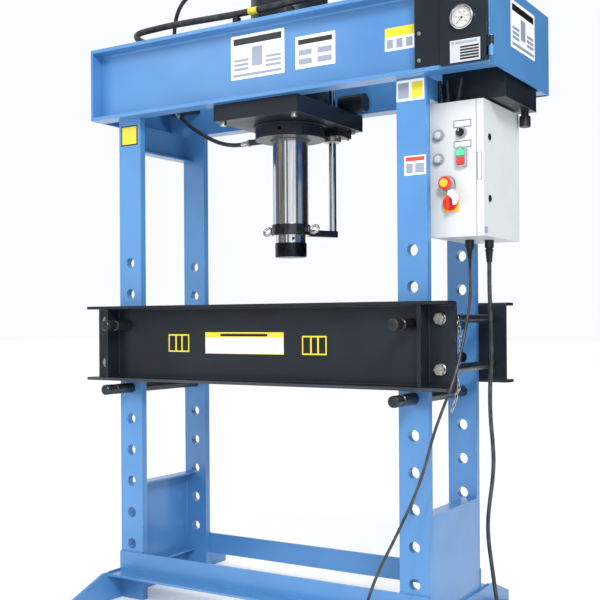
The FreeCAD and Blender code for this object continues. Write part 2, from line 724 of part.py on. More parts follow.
place(gauge, "ram_x + gauge_x", door_y + " - gauge_front", "gauge_z", (1, 0, 0), -90)
dial_recess = disc("ram_x + gauge_x", door_y + " - gauge_front - 1", "gauge_z", "gauge_case - 1", "7", "y")
subpart("gauge_case", cut(gauge, dial_recess))
needle_y = door_y + " - gauge_front + 4"
needle = doc.addObject("Part::Cone", "Needle")
bind(needle, Radius1="0.9", Radius2="0.3", Height="needle_length")
place(needle, "ram_x + gauge_x", needle_y + " + 0.9", "gauge_z", (0, 1, 0), -135)
hub = disc("ram_x + gauge_x", needle_y, "gauge_z", "3", "1.7", "y")
subpart("gauge_needle", fuse(needle, hub))

# ---- Control cabinet ----
cabinet_y = "0 - cabinet_front"
body_long = "(cabinet_right - cabinet_left - cabinet_rim - cabinet_gap)"
subpart("cabinet_body", tray("ram_x + cabinet_left", cabinet_y, "cabinet_bottom", body_long,
                             "cabinet_depth", "cabinet_height", "cabinet_sheet", "right"))
rim_x = "ram_x + cabinet_right - cabinet_rim"
lock_y = cabinet_y + " + lock_inset"
locks = (("lower", "cabinet_bottom + lock_low"), ("upper", "cabinet_bottom + lock_high"))
door_shell = box(rim_x, cabinet_y, "cabinet_bottom", "cabinet_rim", "cabinet_depth", "cabinet_height")
door_hollow = box(rim_x, cabinet_y + " + cabinet_sheet", "cabinet_bottom + cabinet_sheet",
                  "cabinet_rim - cabinet_sheet", "cabinet_depth - 2 * cabinet_sheet",
                  "cabinet_height - 2 * cabinet_sheet")
lock_holes = [disc(rim_x, lock_y, z, "lock_radius * 0.7", "cabinet_rim + 1", "x") for _, z in locks]
subpart("cabinet_door", cut(door_shell, door_hollow, *lock_holes))
lock_face = "ram_x + cabinet_right + control_gap"
for level, z in locks:
    subpart(f"lock_{level}", fuse(
        disc(lock_face, lock_y, z, "lock_radius", "4", "x"),
        disc("ram_x + cabinet_right - 12", lock_y, z, "lock_radius * 0.7 - control_gap", "14", "x")))

strap_x = "ram_x + cabinet_left - strap_thick"
subpart("cabinet_straps", group(*[
    box(strap_x, "0 - frame_depth / 2 + bar_thick", f"cabinet_bottom + {height}", "strap_thick",
        "frame_depth - 2 * bar_thick", "strap_height") for height in ("strap_low", "strap_high")]))


# Controls on the cabinet's front
def at_height(name):
    return f"cabinet_bottom + {name}"


def bezel(x, z, radius, bore=None):
    rim = disc(f"ram_x + {x}", cabinet_y + " - bezel_height", at_height(z), radius, "bezel_height", "y")
    if not bore:
        return rim
    return cut(rim, disc(f"ram_x + {x}", cabinet_y + " - bezel_height - 1", at_height(z), bore,
                         "bezel_height - 1", "y"))


lamp_dome = "bezel_radius - 4"
lamps = [fuse(bezel("lamp_x", z, "bezel_radius"),
              disc("ram_x + lamp_x", cabinet_y + " - bezel_height - 4", at_height(z), lamp_dome, "5", "y"))
         for z in ("lamp_low", "lamp_high")]
push_frame = box("ram_x + push_x - push_width / 2", cabinet_y + " - push_depth",
                 at_height("push_z") + " - push_height / 2", "push_width", "push_depth", "push_height")
key_high = "(push_height / 2 - 4)"
key_wide = "(push_width - 6)"
key_x = f"ram_x + push_x - {key_wide} / 2"
keys = (("green_button", at_height("push_z") + " + 1"),
        ("red_button", at_height("push_z") + f" - 1 - {key_high}"))
pockets = [box(key_x, cabinet_y + " - push_depth - 1", z, key_wide, "push_depth - 1", key_high)
           for _, z in keys]
stop_bore = disc("ram_x + estop_x", cabinet_y + " - estop_collar - 1", at_height("estop_z"),
                 "bezel_radius - 3", "estop_collar", "y")
stop_ring = cut(disc("ram_x + estop_x", cabinet_y + " - estop_collar", at_height("estop_z"),
                     "bezel_radius", "estop_collar", "y"), stop_bore)
switch_plate = box("ram_x + switch_x - switch_side / 2", cabinet_y + " - 3",
                   at_height("switch_z") + " - switch_side / 2", "switch_side", "3", "switch_side")
subpart("control_bezels", group(bezel("selector_x", "selector_z", "bezel_radius"), *lamps,
                                cut(push_frame, *pockets), stop_ring, switch_plate))
selector_face = cabinet_y + " - bezel_height - control_gap"
subpart("selector_knob", fuse(
    disc("ram_x + selector_x", selector_face + " - 4", at_height("selector_z"), "bezel_radius - 3", "4", "y"),
    box("ram_x + selector_x - 4", selector_face + " - 16", at_height("selector_z") + " - bezel_radius + 4",
        "8", "13", "2 * bezel_radius - 8")))
for name, z in keys:
    subpart(name, box(f"{key_x} + control_gap", cabinet_y + " - push_depth - 3", f"{z} + control_gap",
                      f"{key_wide} - 2 * control_gap", "push_depth - 3", f"{key_high} - 2 * control_gap"))
stop_stem = "bezel_radius - 3 - control_gap"
stop_end = "16 + estop_collar + estop_lift - 7"
stop_head = lathe([("0", "0"), ("estop_radius - 5", "0"), ("estop_radius", "5"), ("estop_radius", "12"),
                   ("estop_radius - 6", "16"), (stop_stem, "16"), (stop_stem, stop_end), ("0", stop_end)])
subpart("estop_button", place(stop_head, "ram_x + estop_x",
                              cabinet_y + " - estop_collar - estop_lift - 16", at_height("estop_z"),
                              (1, 0, 0), -90))
knob_face = cabinet_y + " - 3 - control_gap"
subpart("main_switch_knob", fuse(
    disc("ram_x + switch_x", knob_face + " - 10", at_height("switch_z"), "switch_knob", "10", "y"),
    box("ram_x + switch_x - 5", knob_face + " - 24", at_height("switch_z") + " - switch_knob + 2",
        "10", "15", "2 * switch_knob - 4")))


# ---- Cables and hoses: straight runs joined by tangent arcs ----
def vector(x, y, z):
    return FreeCAD.Vector(SIZE["ram_x"] + x, y, z)


def tube(label, route, thick):
    """A round tube along a route, its corners rounded as far as both runs allow."""
    points = [vector(*point) for point in route]
    edges = []
    radii = []
    start = points[0]
    for before, corner, after in zip(points, points[1:], points[2:]):
        arrive = (corner - before).normalize()
        leave = (after - corner).normalize()
        turn = arrive.getAngle(leave)
        short = min((corner - before).Length, (after - corner).Length)
        trim = 0.45 * short
        radii.append(trim / math.tan(turn / 2))
        first = corner - arrive * trim
        last = corner + leave * trim
        inward = (leave - arrive).normalize()
        sagitta = radii[-1] / math.cos(turn / 2) - radii[-1]
        middle = corner + inward * sagitta
        edges.append(Part.LineSegment(start, first).toShape())
        edges.append(Part.Arc(first, middle, last).toShape())
        start = last
    edges.append(Part.LineSegment(start, points[-1]).toShape())
    path = Part.Wire(edges)
    direction = points[1] - points[0]
    profile = Part.Wire(Part.Circle(points[0], direction, thick / 2).toShape())
    solid = path.makePipeShell([profile], True, False)
    expected = math.pi * thick * thick / 4 * path.Length
    print(f"{label}: length {path.Length:.0f} mm, radii {min(radii):.0f} to {max(radii):.0f} mm, "
          f"volume ratio {solid.Volume / expected:.4f}")
    item = doc.addObject("Part::Feature", label)
    item.Shape = solid
    return subpart(label, item)


def coil(label, x, y, radius, thick, columns, layers):
    """The outer shape of a coil that lies on the floor."""
    half = columns * thick / 2
    centre = vector(x, y, 0)
    outside = Part.makeCylinder(radius + half, layers * thick, centre)
    inside = Part.makeCylinder(radius - half, layers * thick, centre)
    item = doc.addObject("Part::Feature", label)
    item.Shape = outside.cut(inside)
    return subpart(label, item)


GLAND_FOOT = SIZE["cabinet_bottom"] - SIZE["gland_height"]
CONTROL_EXIT = (651, 2)
MAINS_EXIT = (698, 44)
CONTROL_COIL = (404, -332)
MAINS_COIL = (806, 160)
control_route = [
    (*CONTROL_EXIT, GLAND_FOOT), (653, -3, 1155), (668, -40, 1108), (691, -92, 1069), (709, -142, 1020),
    (716, -180, 968), (717, -207, 918), (716, -233, 868), (713, -259, 818), (704, -284, 769),
    (688, -296, 720), (667, -293, 670), (645, -281, 618), (624, -268, 563), (602, -262, 508),
    (578, -262, 452), (552, -268, 396), (528, -280, 340), (505, -297, 286), (486, -317, 232),
    (473, -337, 178), (466, -354, 124), (461, -368, 74), (450, -379, 34), (430, -384, 8)]
mains_route = [
    (*MAINS_EXIT, GLAND_FOOT), (698, 43, 1140), (699, 40, 1085), (702, 36, 1027), (705, 35, 965),
    (707, 35, 905), (706, 33, 845), (703, 31, 784), (702, 30, 722), (704, 31, 660), (709, 33, 600),
    (712, 33, 540), (708, 31, 480), (700, 28, 420), (694, 26, 362), (695, 26, 304), (702, 28, 246),
    (708, 31, 194), (713, 34, 150), (717, 41, 106), (718, 56, 64), (718, 82, 31), (718, 117, 12),
    (718, 148, 6.5)]
tube("control_cord", control_route, SIZE["control_thick"])
tube("mains_lead", mains_route, SIZE["mains_thick"])
coil("control_coil", *CONTROL_COIL, 49, SIZE["control_thick"], 2, 3)
coil("mains_coil", *MAINS_COIL, 71, SIZE["mains_thick"], 3, 2)


def plug(label, x, y, way, radius, length, collar):
    """A round plug lying on the floor: cord end at y, nose towards -Y where way is -1 and +Y where it is 1."""
    places = [0, collar, collar + length, 2 * collar + length]
    radii = [radius * 0.55, radius, radius - 3]
    return subpart(label, fuse(*(
        disc(f"ram_x + ({x})", str(min(y + way * start, y + way * end)), str(radius), str(around),
             str(end - start), "y")
        for start, end, around in zip(places, places[1:], radii))))


plug("control_plug", 333.5, -346, 1, 12, 44, 14)
plug("mains_plug", 872, 87, -1, 26, 78, 24)

# Three short cables between the cabinet's top and the head's underside
cable_tops = ((612, -112), (634, -112), (668, -112))
top_of_gland = SIZE["cabinet_bottom"] + SIZE["cabinet_height"] + SIZE["gland_height"] / 2
head_under = SIZE["head_bottom"]
cables = [
    [(612, -112, top_of_gland), (611, -112, 1654), (608, -112, 1673), (607, -112, head_under)],
    [(634, -112, top_of_gland), (633, -112, 1654), (631, -112, 1673), (630, -112, head_under)],
    [(668, -112, top_of_gland), (670, -112, 1652), (675, -112, 1672), (677, -112, head_under)]]
solids = []
for number, route in enumerate(cables):
    solids.append(tube(f"cable_{number}", route, SIZE["cable_thick"]))
    SUBPARTS.pop()
subpart("cabinet_cables", group(*solids))

# Hoses: ring to valve block, valve block to barrel, valve block to pump
ring_mid = SIZE["head_bottom"] - SIZE["plate_thick"] - SIZE["ring_height"] / 2
valve_top = SIZE["valve_bottom"] + SIZE["valve_height"]
tube("hose_lower", [
    (-166, 0, ring_mid - 14), (-200, 0, ring_mid - 17), (-236, 2, ring_mid - 16), (-274, 7, ring_mid - 9),
    (-314, 15, ring_mid + 3), (-356, 26, ring_mid + 20), (-400, 40, ring_mid + 41),
    (-444, 57, ring_mid + 64), (-488, 76, ring_mid + 88), (-528, 95, ring_mid + 112),
    (-562, 110, ring_mid + 137), (-588, 120, ring_mid + 162)], SIZE["hose_thick"])
tube("hose_upper", [
    (-612, 140, valve_top), (-612, 139, 1930), (-610, 132, 1984), (-601, 117, 2036), (-583, 96, 2084),
    (-552, 70, 2124), (-508, 44, 2154), (-452, 22, 2172), (-390, 8, 2178), (-326, 2, 2172),
    (-268, 0, 2158), (-216, 0, 2143), (-166, 0, 2134)], SIZE["hose_thick"])
tube("hose_supply", [
    (-632, 122, valve_top), (-632, 122, 1916), (-632, 102, 1964), (-632, 66, 2000), (-632, 18, 2020),
    (-632, -41, 2016), (-604, -98, 2014), (-555, -137, 2012), (-480, -148, 2010), (-400, -158, 2008),
    (-306, -169, 2002), (-204, -175, 1997), (-94, -177, 1993), (12, -179, 1993), (118, -177, 1996),
    (222, -171, 2004), (318, -157, 2018), (406, -134, 2040), (482, -104, 2062), (559, -55, 2068),
    (596, -25, 2048), (625, -2, 2012), (640, 10, 1964), (640, 10, 1914)], SIZE["supply_thick"])

# Glands on the cabinet, fittings on the hoses, and the two stands that carry the supply hose
below = "cabinet_bottom - gland_height"
glands = [fuse(disc(f"ram_x + {x}", str(y), below + " + 6", "gland_radius", "gland_height - 6"),
               disc(f"ram_x + {x}", str(y), below, "gland_radius * 0.75", "6"))
          for x, y in (CONTROL_EXIT, MAINS_EXIT)]
top_glands = [disc(f"ram_x + {x}", f"({y})", CABINET_TOP, "gland_radius * 0.7", "gland_height / 2")
              for x, y in cable_tops]
ring_fitting = disc("ram_x - 166", "0", RING_BOTTOM + " + ring_height / 2 - 14", "hose_thick / 2 + 3",
                    "166 - ring_radius", "x")
lid_fitting = disc("ram_x - 166", "0", "barrel_top - 76", "hose_thick / 2 + 3", "166 - barrel_radius", "x")
stands = [box(f"ram_x + ({x}) - 10", "0 - 177 - 10", HEAD_TOP, "20", "20",
              f"1993 - supply_thick / 2 - {HEAD_TOP}") for x in (-94, 118)]
subpart("glands_and_fittings", group(*glands, *top_glands, ring_fitting, lid_fitting, *stands))

# ---- Check every object, then write one file for each sub-part ----
doc.recompute()
faults = [f"{item.Name}: {item.State}" for item in doc.Objects if {"Invalid", "Error"} & set(item.State)]
for item in SUBPARTS:
    if item.Shape.isNull() or not item.Shape.isValid() or not item.Shape.Solids:
        faults.append(f"{item.Label}: no valid solid")
if faults:
    raise SystemExit("\n".join(faults))
os.makedirs("parts", exist_ok=True)
for item in SUBPARTS:
    item.Shape.exportStep(f"parts/{item.Label}.step")
print(len(SUBPARTS), "sub-parts written")
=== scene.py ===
import math
import bmesh
import bpy
from mathutils import Matrix, Vector


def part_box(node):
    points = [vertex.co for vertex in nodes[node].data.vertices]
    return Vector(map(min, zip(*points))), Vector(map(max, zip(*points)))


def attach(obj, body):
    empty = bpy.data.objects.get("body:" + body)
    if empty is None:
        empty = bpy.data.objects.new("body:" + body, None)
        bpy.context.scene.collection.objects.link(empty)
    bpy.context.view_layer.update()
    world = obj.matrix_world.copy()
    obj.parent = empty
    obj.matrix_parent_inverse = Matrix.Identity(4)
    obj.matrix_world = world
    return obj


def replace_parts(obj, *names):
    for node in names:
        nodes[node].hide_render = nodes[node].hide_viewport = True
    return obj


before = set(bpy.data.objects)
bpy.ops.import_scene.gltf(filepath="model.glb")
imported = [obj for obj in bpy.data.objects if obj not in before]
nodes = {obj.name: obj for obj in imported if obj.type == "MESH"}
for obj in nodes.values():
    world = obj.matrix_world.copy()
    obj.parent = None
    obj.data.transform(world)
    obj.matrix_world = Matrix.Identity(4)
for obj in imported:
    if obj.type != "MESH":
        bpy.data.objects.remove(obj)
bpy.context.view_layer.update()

MM = 0.001
rod_low, rod_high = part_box("ram_rod")
axis_x = (rod_low[0] + rod_high[0]) / 2


def at(x, y, z):
    """A place in the row frame: x in millimetres from the cylinder's axis, y and z from its origin."""
    return Vector((axis_x + x * MM, y * MM, z * MM))


# ---- Camera ----
# A 60 mm lens on a full-frame back stands 3.4 m from the press, off its right front corner at chest height.
# It is held nearly level and rolled a third of a degree; the hoses on top and the feet run out of its view.
camera_data = bpy.data.cameras.new("camera")
camera_data.sensor_width = 36.0
camera_data.lens = 59.886
camera_data.shift_x = -0.01542
camera_data.shift_y = 0.02633
camera = bpy.data.objects.new("camera", camera_data)
bpy.context.collection.objects.link(camera)
camera_turn, camera_tilt, camera_roll = (math.radians(a) for a in (31.744, 0.25, -0.379))
camera.matrix_world = (Matrix.Translation((1.777, -2.8627, 0.9781)) @ Matrix.Rotation(camera_turn, 4, "Z")
                       @ Matrix.Rotation(math.radians(90) + camera_tilt, 4, "X")
                       @ Matrix.Rotation(camera_roll, 4, "Z"))
bpy.context.scene.camera = camera

# ---- Cables and hoses ----
# The control lead and the mains lead leave glands under the cabinet, hang free and end in a neat coil with a
# plug on the floor. Three oil hoses join the cylinder, the valve block and the pump inside the head.


def srgb(code):
    """Turn a hex colour as a screen shows it into linear RGBA."""
    parts = [int(code[i:i + 2], 16) / 255 for i in (1, 3, 5)]
    return (*(p / 12.92 if p <= 0.04045 else ((p + 0.055) / 1.055) ** 2.4 for p in parts), 1.0)


def node(tree, kind, inputs=None, **settings):
    """Add one shader node with its settings; an input is a value or another node's output."""
    made = tree.nodes.new("ShaderNode" + kind)
    for name, value in settings.items():
        setattr(made, name, value)
    for name, value in (inputs or {}).items():
        if isinstance(value, bpy.types.NodeSocket):
            tree.links.new(value, made.inputs[name])
        else:
            made.inputs[name].default_value = value
    return made


def new_material(name):
    """An empty material, its tree and its shader."""
    material = bpy.data.materials.new(name)
    material.use_nodes = True
    return material, material.node_tree, material.node_tree.nodes["Principled BSDF"]


def pattern(tree, texture, size_mm, stretch=(1, 1, 1), **inputs):
    """A texture on object coordinates whose grains are size_mm wide, stretched along an axis by stretch."""
    place = node(tree, "TexCoord")
    scale = tuple(1000.0 / (size_mm * s) for s in stretch)
    spread = node(tree, "Mapping", {"Vector": place.outputs["Object"], "Scale": scale})
    return node(tree, texture, {"Vector": spread.outputs["Vector"], "Scale": 1.0, **inputs})


def shade(tree, texture, low, high, start, end):
    """Run from one colour to another as a texture goes from start to end."""
    steps = node(tree, "ValToRGB", {"Fac": texture.outputs["Fac"]})
    steps.color_ramp.elements[0].position, steps.color_ramp.elements[0].color = start, low
    steps.color_ramp.elements[1].position, steps.color_ramp.elements[1].color = end, high
    return steps.outputs["Color"]


def tint(tree, shader, texture, low, high, start, end):
    """Let the base colour run from one colour to another as a texture goes from start to end."""
    tree.links.new(shade(tree, texture, low, high, start, end), shader.inputs["Base Color"])


def roughen(tree, shader, texture, low, high):
    """Let the roughness follow a texture."""
    spread = node(tree, "MapRange", {"Value": texture.outputs["Fac"], "To Min": low, "To Max": high})
    tree.links.new(spread.outputs["Result"], shader.inputs["Roughness"])


def bump(tree, shader, texture, depth_mm, normal=None):
    """Raise the surface by depth_mm where the texture is one."""
    raised = node(tree, "Bump", {"Height": texture.outputs["Fac"], "Distance": depth_mm * MM, "Strength": 1.0})
    if normal is not None:
        tree.links.new(normal, raised.inputs["Normal"])
    tree.links.new(raised.outputs["Normal"], shader.inputs["Normal"])


def extruded_rubber(name, tone, worn, rough):
    """Rubber jacket, extruded: dark and satin, with faint chalky handling marks and a slightly wavy skin."""
    material, tree, shader = new_material(name)
    marks = pattern(tree, "TexNoise", 30, Detail=5.0, Roughness=0.6)
    tint(tree, shader, marks, srgb(tone), srgb(worn), 0.42, 0.78)
    roughen(tree, shader, marks, rough - 0.08, rough + 0.12)
    skin = pattern(tree, "TexNoise", 2.5, Detail=2.0)
    bump(tree, shader, skin, 0.06)
    shader.inputs["IOR"].default_value = 1.5
    return material


jacket = extruded_rubber("cable_jacket", "#20252a", "#4a4f52", 0.34)
hose_cover = extruded_rubber("wrapped_hose_rubber", "#15181b", "#3b3e40", 0.5)


def finish(name, data, body, slot, *materials):
    """Make a mesh or curve an object, with its materials and its body; the slot is not used."""
    for material in materials:
        data.materials.append(material)
    made = bpy.data.objects.new(name, data)
    bpy.context.collection.objects.link(made)
    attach(made, body)
    return made


def round_wire(name, thick_mm, roundness):
    """An empty curve with a round section and closed ends."""
    curve = bpy.data.curves.new(name, "CURVE")
    curve.dimensions = "3D"
    curve.bevel_depth = thick_mm / 2 * MM
    curve.bevel_resolution = roundness
    curve.use_fill_caps = True
    return curve


def line(name, points, thick_mm, material, slot):
    """A smooth round cord whose centre line is one spline led by the places given."""
    curve = round_wire(name, thick_mm, 5)
    spline = curve.splines.new("NURBS")
    spline.points.add(len(points) - 1)
    for point, place in zip(spline.points, points):
        point.co = (*at(*place), 1.0)
    spline.order_u = 3
    spline.use_endpoint_u = True
    spline.resolution_u = 6
    return finish(name, curve, "root", slot, material)


TURN_POINTS = 16
STEP_OVER = 0.25  # the last part of each turn, in which the lead moves over to its next place


def coil_turns(centre, thick, mean, columns, start_degrees, turns):
    """Turns laid side by side and then one layer up, clockwise from above, beginning on the outside. The sizes
    are in millimetres: the lead's thickness, the mean radius, and how many turns lie side by side."""
    radii = [mean + thick * (columns - 1) / 2 - thick * i for i in range(columns)]
    points = []
    for step in range(round(turns * TURN_POINTS)):
        turn = step / TURN_POINTS
        layer, column = divmod(int(turn), columns)
        after_layer, after_column = divmod(int(turn) + 1, columns)
        here = radii[column] if layer % 2 == 0 else radii[::-1][column]
        there = radii[after_column] if after_layer % 2 == 0 else radii[::-1][after_column]
        shift = max(0.0, (turn % 1 - 1 + STEP_OVER) / STEP_OVER)
        radius = here + (there - here) * shift
        height = thick * (0.5 + layer + (after_layer - layer) * shift)
        angle = math.radians(start_degrees) - 2 * math.pi * turn
        points.append((centre[0] + radius * math.cos(angle), centre[1] + radius * math.sin(angle), height))
    return points


GLAND_FOOT = 1191
CONTROL_THICK = 9
control_route = [
    (651, 2, GLAND_FOOT), (653, -3, 1155), (668, -40, 1108), (691, -92, 1069), (709, -142, 1020),
    (716, -180, 968), (717, -207, 918), (716, -233, 868), (713, -259, 818), (704, -284, 769),
    (688, -296, 720), (667, -293, 670), (645, -281, 618), (624, -268, 563), (602, -262, 508),
    (578, -262, 452), (552, -268, 396), (528, -280, 340), (505, -297, 286), (486, -317, 232),
    (473, -337, 178), (466, -354, 124), (461, -368, 74), (450, -379, 34), (433, -382, 10)]
control_turns = coil_turns((404, -332), CONTROL_THICK, 49, 2, -68, 5.12)
control_end = [(362, -376, 19), (343, -366, 14), (334.5, -355, 12.3), (333.5, -344, 12)]
control_lead = line("control_lead", control_route + control_turns + control_end, CONTROL_THICK, jacket,
                    "cord_rubber")
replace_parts(control_lead, "control_cord", "control_coil")

MAINS_THICK = 13
mains_route = [
    (698, 44, GLAND_FOOT), (698, 43, 1140), (699, 40, 1085), (702, 36, 1027), (705, 35, 965),
    (707, 35, 905), (706, 33, 845), (703, 31, 784), (702, 30, 722), (704, 31, 660), (709, 33, 600),
    (712, 33, 540), (708, 31, 480), (700, 28, 420), (694, 26, 362), (695, 26, 304), (702, 28, 246),
    (708, 31, 194), (713, 34, 150), (717, 41, 106), (718, 56, 64), (718, 82, 31), (719, 117, 12)]
mains_turns = coil_turns((806, 160), MAINS_THICK, 71, 3, 190, 5.5)
mains_end = [(889, 138, 19.5), (884, 116, 22), (876, 100, 25), (872, 85, 26)]
mains_lead = line("mains_lead_line", mains_route + mains_turns + mains_end, MAINS_THICK, jacket, "cord_rubber")
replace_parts(mains_lead, "mains_lead", "mains_coil")

RING_MIDDLE = 1614
VALVE_TOP = 1872
HOSE_THICK = 15
SUPPLY_THICK = 22
hose_routes = {
    "hose_lower": (HOSE_THICK, 0.48, [
        (-166, 0, RING_MIDDLE - 14), (-200, 0, RING_MIDDLE - 17), (-236, 2, RING_MIDDLE - 16),
        (-274, 7, RING_MIDDLE - 9), (-314, 15, RING_MIDDLE + 3), (-356, 26, RING_MIDDLE + 20),
        (-400, 40, RING_MIDDLE + 41), (-444, 57, RING_MIDDLE + 64), (-488, 76, RING_MIDDLE + 88),
        (-528, 95, RING_MIDDLE + 112), (-562, 110, RING_MIDDLE + 137), (-588, 120, RING_MIDDLE + 162)]),
    "hose_upper": (HOSE_THICK, 0.69, [
        (-612, 140, VALVE_TOP), (-612, 139, 1930), (-610, 132, 1984), (-601, 117, 2036), (-583, 96, 2084),
        (-552, 70, 2124), (-508, 44, 2154), (-452, 22, 2172), (-390, 8, 2178), (-326, 2, 2172),
        (-268, 0, 2158), (-216, 0, 2143), (-166, 0, 2134)]),
    "hose_supply": (SUPPLY_THICK, 1.71, [
        (-632, 122, VALVE_TOP), (-632, 122, 1916), (-632, 102, 1964), (-632, 66, 2000), (-632, 18, 2020),
        (-632, -41, 2016), (-604, -98, 2014), (-555, -137, 2012), (-480, -148, 2010), (-400, -158, 2008),
        (-306, -169, 2002), (-204, -175, 1997), (-94, -177, 1993), (12, -179, 1993), (118, -177, 1996),
        (222, -171, 2004), (318, -157, 2018), (406, -134, 2040), (482, -104, 2062), (559, -55, 2068),
        (596, -25, 2048), (625, -2, 2012), (640, 10, 1964), (640, 10, 1914)])}
for name, (thick, long, route) in hose_routes.items():
    hose = line(name + "_line", route, thick, hose_cover, "hose_rubber")
    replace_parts(hose, name)

# The jackets go into black moulded strain reliefs, ribbed rubber cones pushed over the lead under each gland,
# and crimped steel ferrules with hexagon nuts end the hoses.


def ring(bm, outline, centre, axis=(0, 0, 1), steps=40, closed=False):
    """Turn an outline of (radius, height) in millimetres about an axis through centre."""
    before = set(bm.verts)
    start = [bm.verts.new((r * MM, 0, h * MM)) for r, h in outline]
    pairs = list(zip(start, start[1:])) + ([(start[-1], start[0])] if closed else [])
    edges = [bm.edges.new(pair) for pair in pairs]
    bmesh.ops.spin(bm, geom=start + edges, cent=(0, 0, 0), axis=(0, 0, 1), angle=2 * math.pi, steps=steps,
                   use_merge=True)
    made = [v for v in bm.verts if v not in before]
    bmesh.ops.remove_doubles(bm, verts=made, dist=1e-6)
    made = [v for v in bm.verts if v not in before]
    bmesh.ops.recalc_face_normals(bm, faces=list({f for v in made for f in v.link_faces}))
    turn = Vector((0, 0, 1)).rotation_difference(Vector(axis)).to_matrix().to_4x4()
    bmesh.ops.transform(bm, matrix=Matrix.Translation(centre) @ turn, verts=made)
    return made


def bar(bm, low, high):
    """A block between two corners."""
    made = bmesh.ops.create_cube(bm, size=1.0)["verts"]
    low, high = at(*low), at(*high)
    bmesh.ops.scale(bm, vec=high - low, verts=made)
    bmesh.ops.translate(bm, vec=(low + high) / 2, verts=made)
    return made


def soften(bm, verts, mm, segments=2):
    """Round every edge of a block."""
    edges = list({e for v in verts for e in v.link_edges})
    bmesh.ops.bevel(bm, geom=edges, offset=mm * MM, affect="EDGES", segments=segments, profile=0.5,
                    material=-1, clamp_overlap=True)


def piece(name, bm, body, slot, *materials, crease=32):
    """Make the finished mesh an object with smooth faces and crisp edges."""
    mesh = bpy.data.meshes.new(name)
    bm.to_mesh(mesh)
    bm.free()
    mesh.polygons.foreach_set("use_smooth", [True] * len(mesh.polygons))
    mesh.set_sharp_from_angle(angle=math.radians(crease))
    return finish(name, mesh, body, slot, *materials)


def moulded(name, tone, rough, coat=0.0):
    """Injection-moulded plastic: one even colour, a soft, broad highlight and a fine spark-eroded grain, which
    is drawn 0.8 mm across, coarser than the real one, so that it shows."""
    material, tree, shader = new_material(name)
    grain = pattern(tree, "TexNoise", 0.8, Detail=2.0)
    worn = tuple(min(1.0, c * 1.12 + 0.004) for c in srgb(tone))
    cloud = pattern(tree, "TexNoise", 25, Detail=3.0)
    tint(tree, shader, cloud, srgb(tone), worn, 0.35, 0.7)
    roughen(tree, shader, cloud, rough - 0.05, rough + 0.07)
    bump(tree, shader, grain, 0.03)
    shader.inputs["IOR"].default_value = 1.49
    shader.inputs["Coat Weight"].default_value = coat
    return material


def plated(name, tone, rough, grain_mm, stretch, streak, tarnish="#8d8f8c"):
    """Steel with a bright plating: cloudy where the bath left it uneven, with fine tool lines."""
    material, tree, shader = new_material(name)
    shader.inputs["Metallic"].default_value = 1.0
    cloud = pattern(tree, "TexNoise", 18, Detail=4.0)
    tint(tree, shader, cloud, srgb(tarnish), srgb(tone), 0.25, 0.55)
    lines = pattern(tree, "TexNoise", grain_mm, stretch, Detail=3.0)
    roughen(tree, shader, lines, rough - 0.05, rough + 0.09)
    bump(tree, shader, lines, streak)
    return material


black_moulding = moulded("black_polyamide", "#17191b", 0.42)
zinc = plated("bright_zinc_plate", "#c9c9c2", 0.27, 1.5, (1, 1, 1), 0.02)

RELIEF_LONG = 29
relief_outline = [(4.9, 0), (6.4, 0), (6.6, 2)]
for i in range(6):
    wider, rib_foot = 0.35 * i, 2 + 4 * i
    relief_outline += [(7 + wider, rib_foot + 1.0), (7 + wider, rib_foot + 2.6), (6.1 + wider, rib_foot + 3.2)]
relief_outline += [(10, 27), (10, RELIEF_LONG)]
for name, (x, y), scale in (("control_strain_relief", (651.4, 0), 1.0),
                            ("mains_strain_relief", (698, 43.5), 1.35)):
    bm = bmesh.new()
    outline = [(r * scale, (h - RELIEF_LONG) * scale) for r, h in relief_outline]
    ring(bm, outline + [(4.6 * scale, 0)], at(x, y, GLAND_FOOT + 1), steps=28, closed=True)
    piece(name, bm, "root", "gland_plastic", black_moulding)

bm = bmesh.new()
for name, *directions in (("hose_lower", (-1, 0.02, -0.08), (0.55, -0.25, -0.6)),
                          ("hose_upper", (0, 0, 1), (-1, 0.02, 0.16)),
                          ("hose_supply", (0, 0, 1), (0, 0, 1))):
    thick, _, route = hose_routes[name]
    r = thick / 2
    crimp = [(r + 0.3, 8), (r + 2.4, 8), (r + 2.4, 14), (r + 1.5, 15), (r + 1.5, 20), (r + 2.4, 21),
             (r + 2.4, 27), (r + 1.5, 28), (r + 1.2, 36), (r + 0.3, 37)]
    hexagon = [(r * 0.6, 0), (r + 5, 0), (r + 5.6, 1), (r + 5.6, 7), (r + 5, 8), (r * 0.6, 8)]
    for place, direction in zip((route[0], route[-1]), directions):
        out = Vector(direction).normalized()
        ring(bm, crimp, at(*place), out, closed=True)
        ring(bm, hexagon, at(*place), out, steps=6, closed=True)
piece("hose_ferrules", bm, "root", "bright_steel", zinc, crease=25)


def film(name, tone, rough=0.32):
    """Printed self-adhesive film: even colour under a clear satin layer."""
    material, tree, shader = new_material(name)
    fade = pattern(tree, "TexNoise", 60, Detail=2.0)
    red, green, blue, _ = srgb(tone)
    faded = (red * 0.93, green * 0.93, blue * 0.93, 1.0)
    tint(tree, shader, fade, faded, srgb(tone), 0.3, 0.6)
    shader.inputs["Roughness"].default_value = rough
    shader.inputs["Coat Weight"].default_value = 0.3
    return material


white_film = film("white_vinyl_film", "#f2f4f6")
yellow_film = film("yellow_vinyl_film", "#dac829")
black_film = film("black_vinyl_film", "#111214")
grey_film = film("grey_printed_film", "#8b93a8")

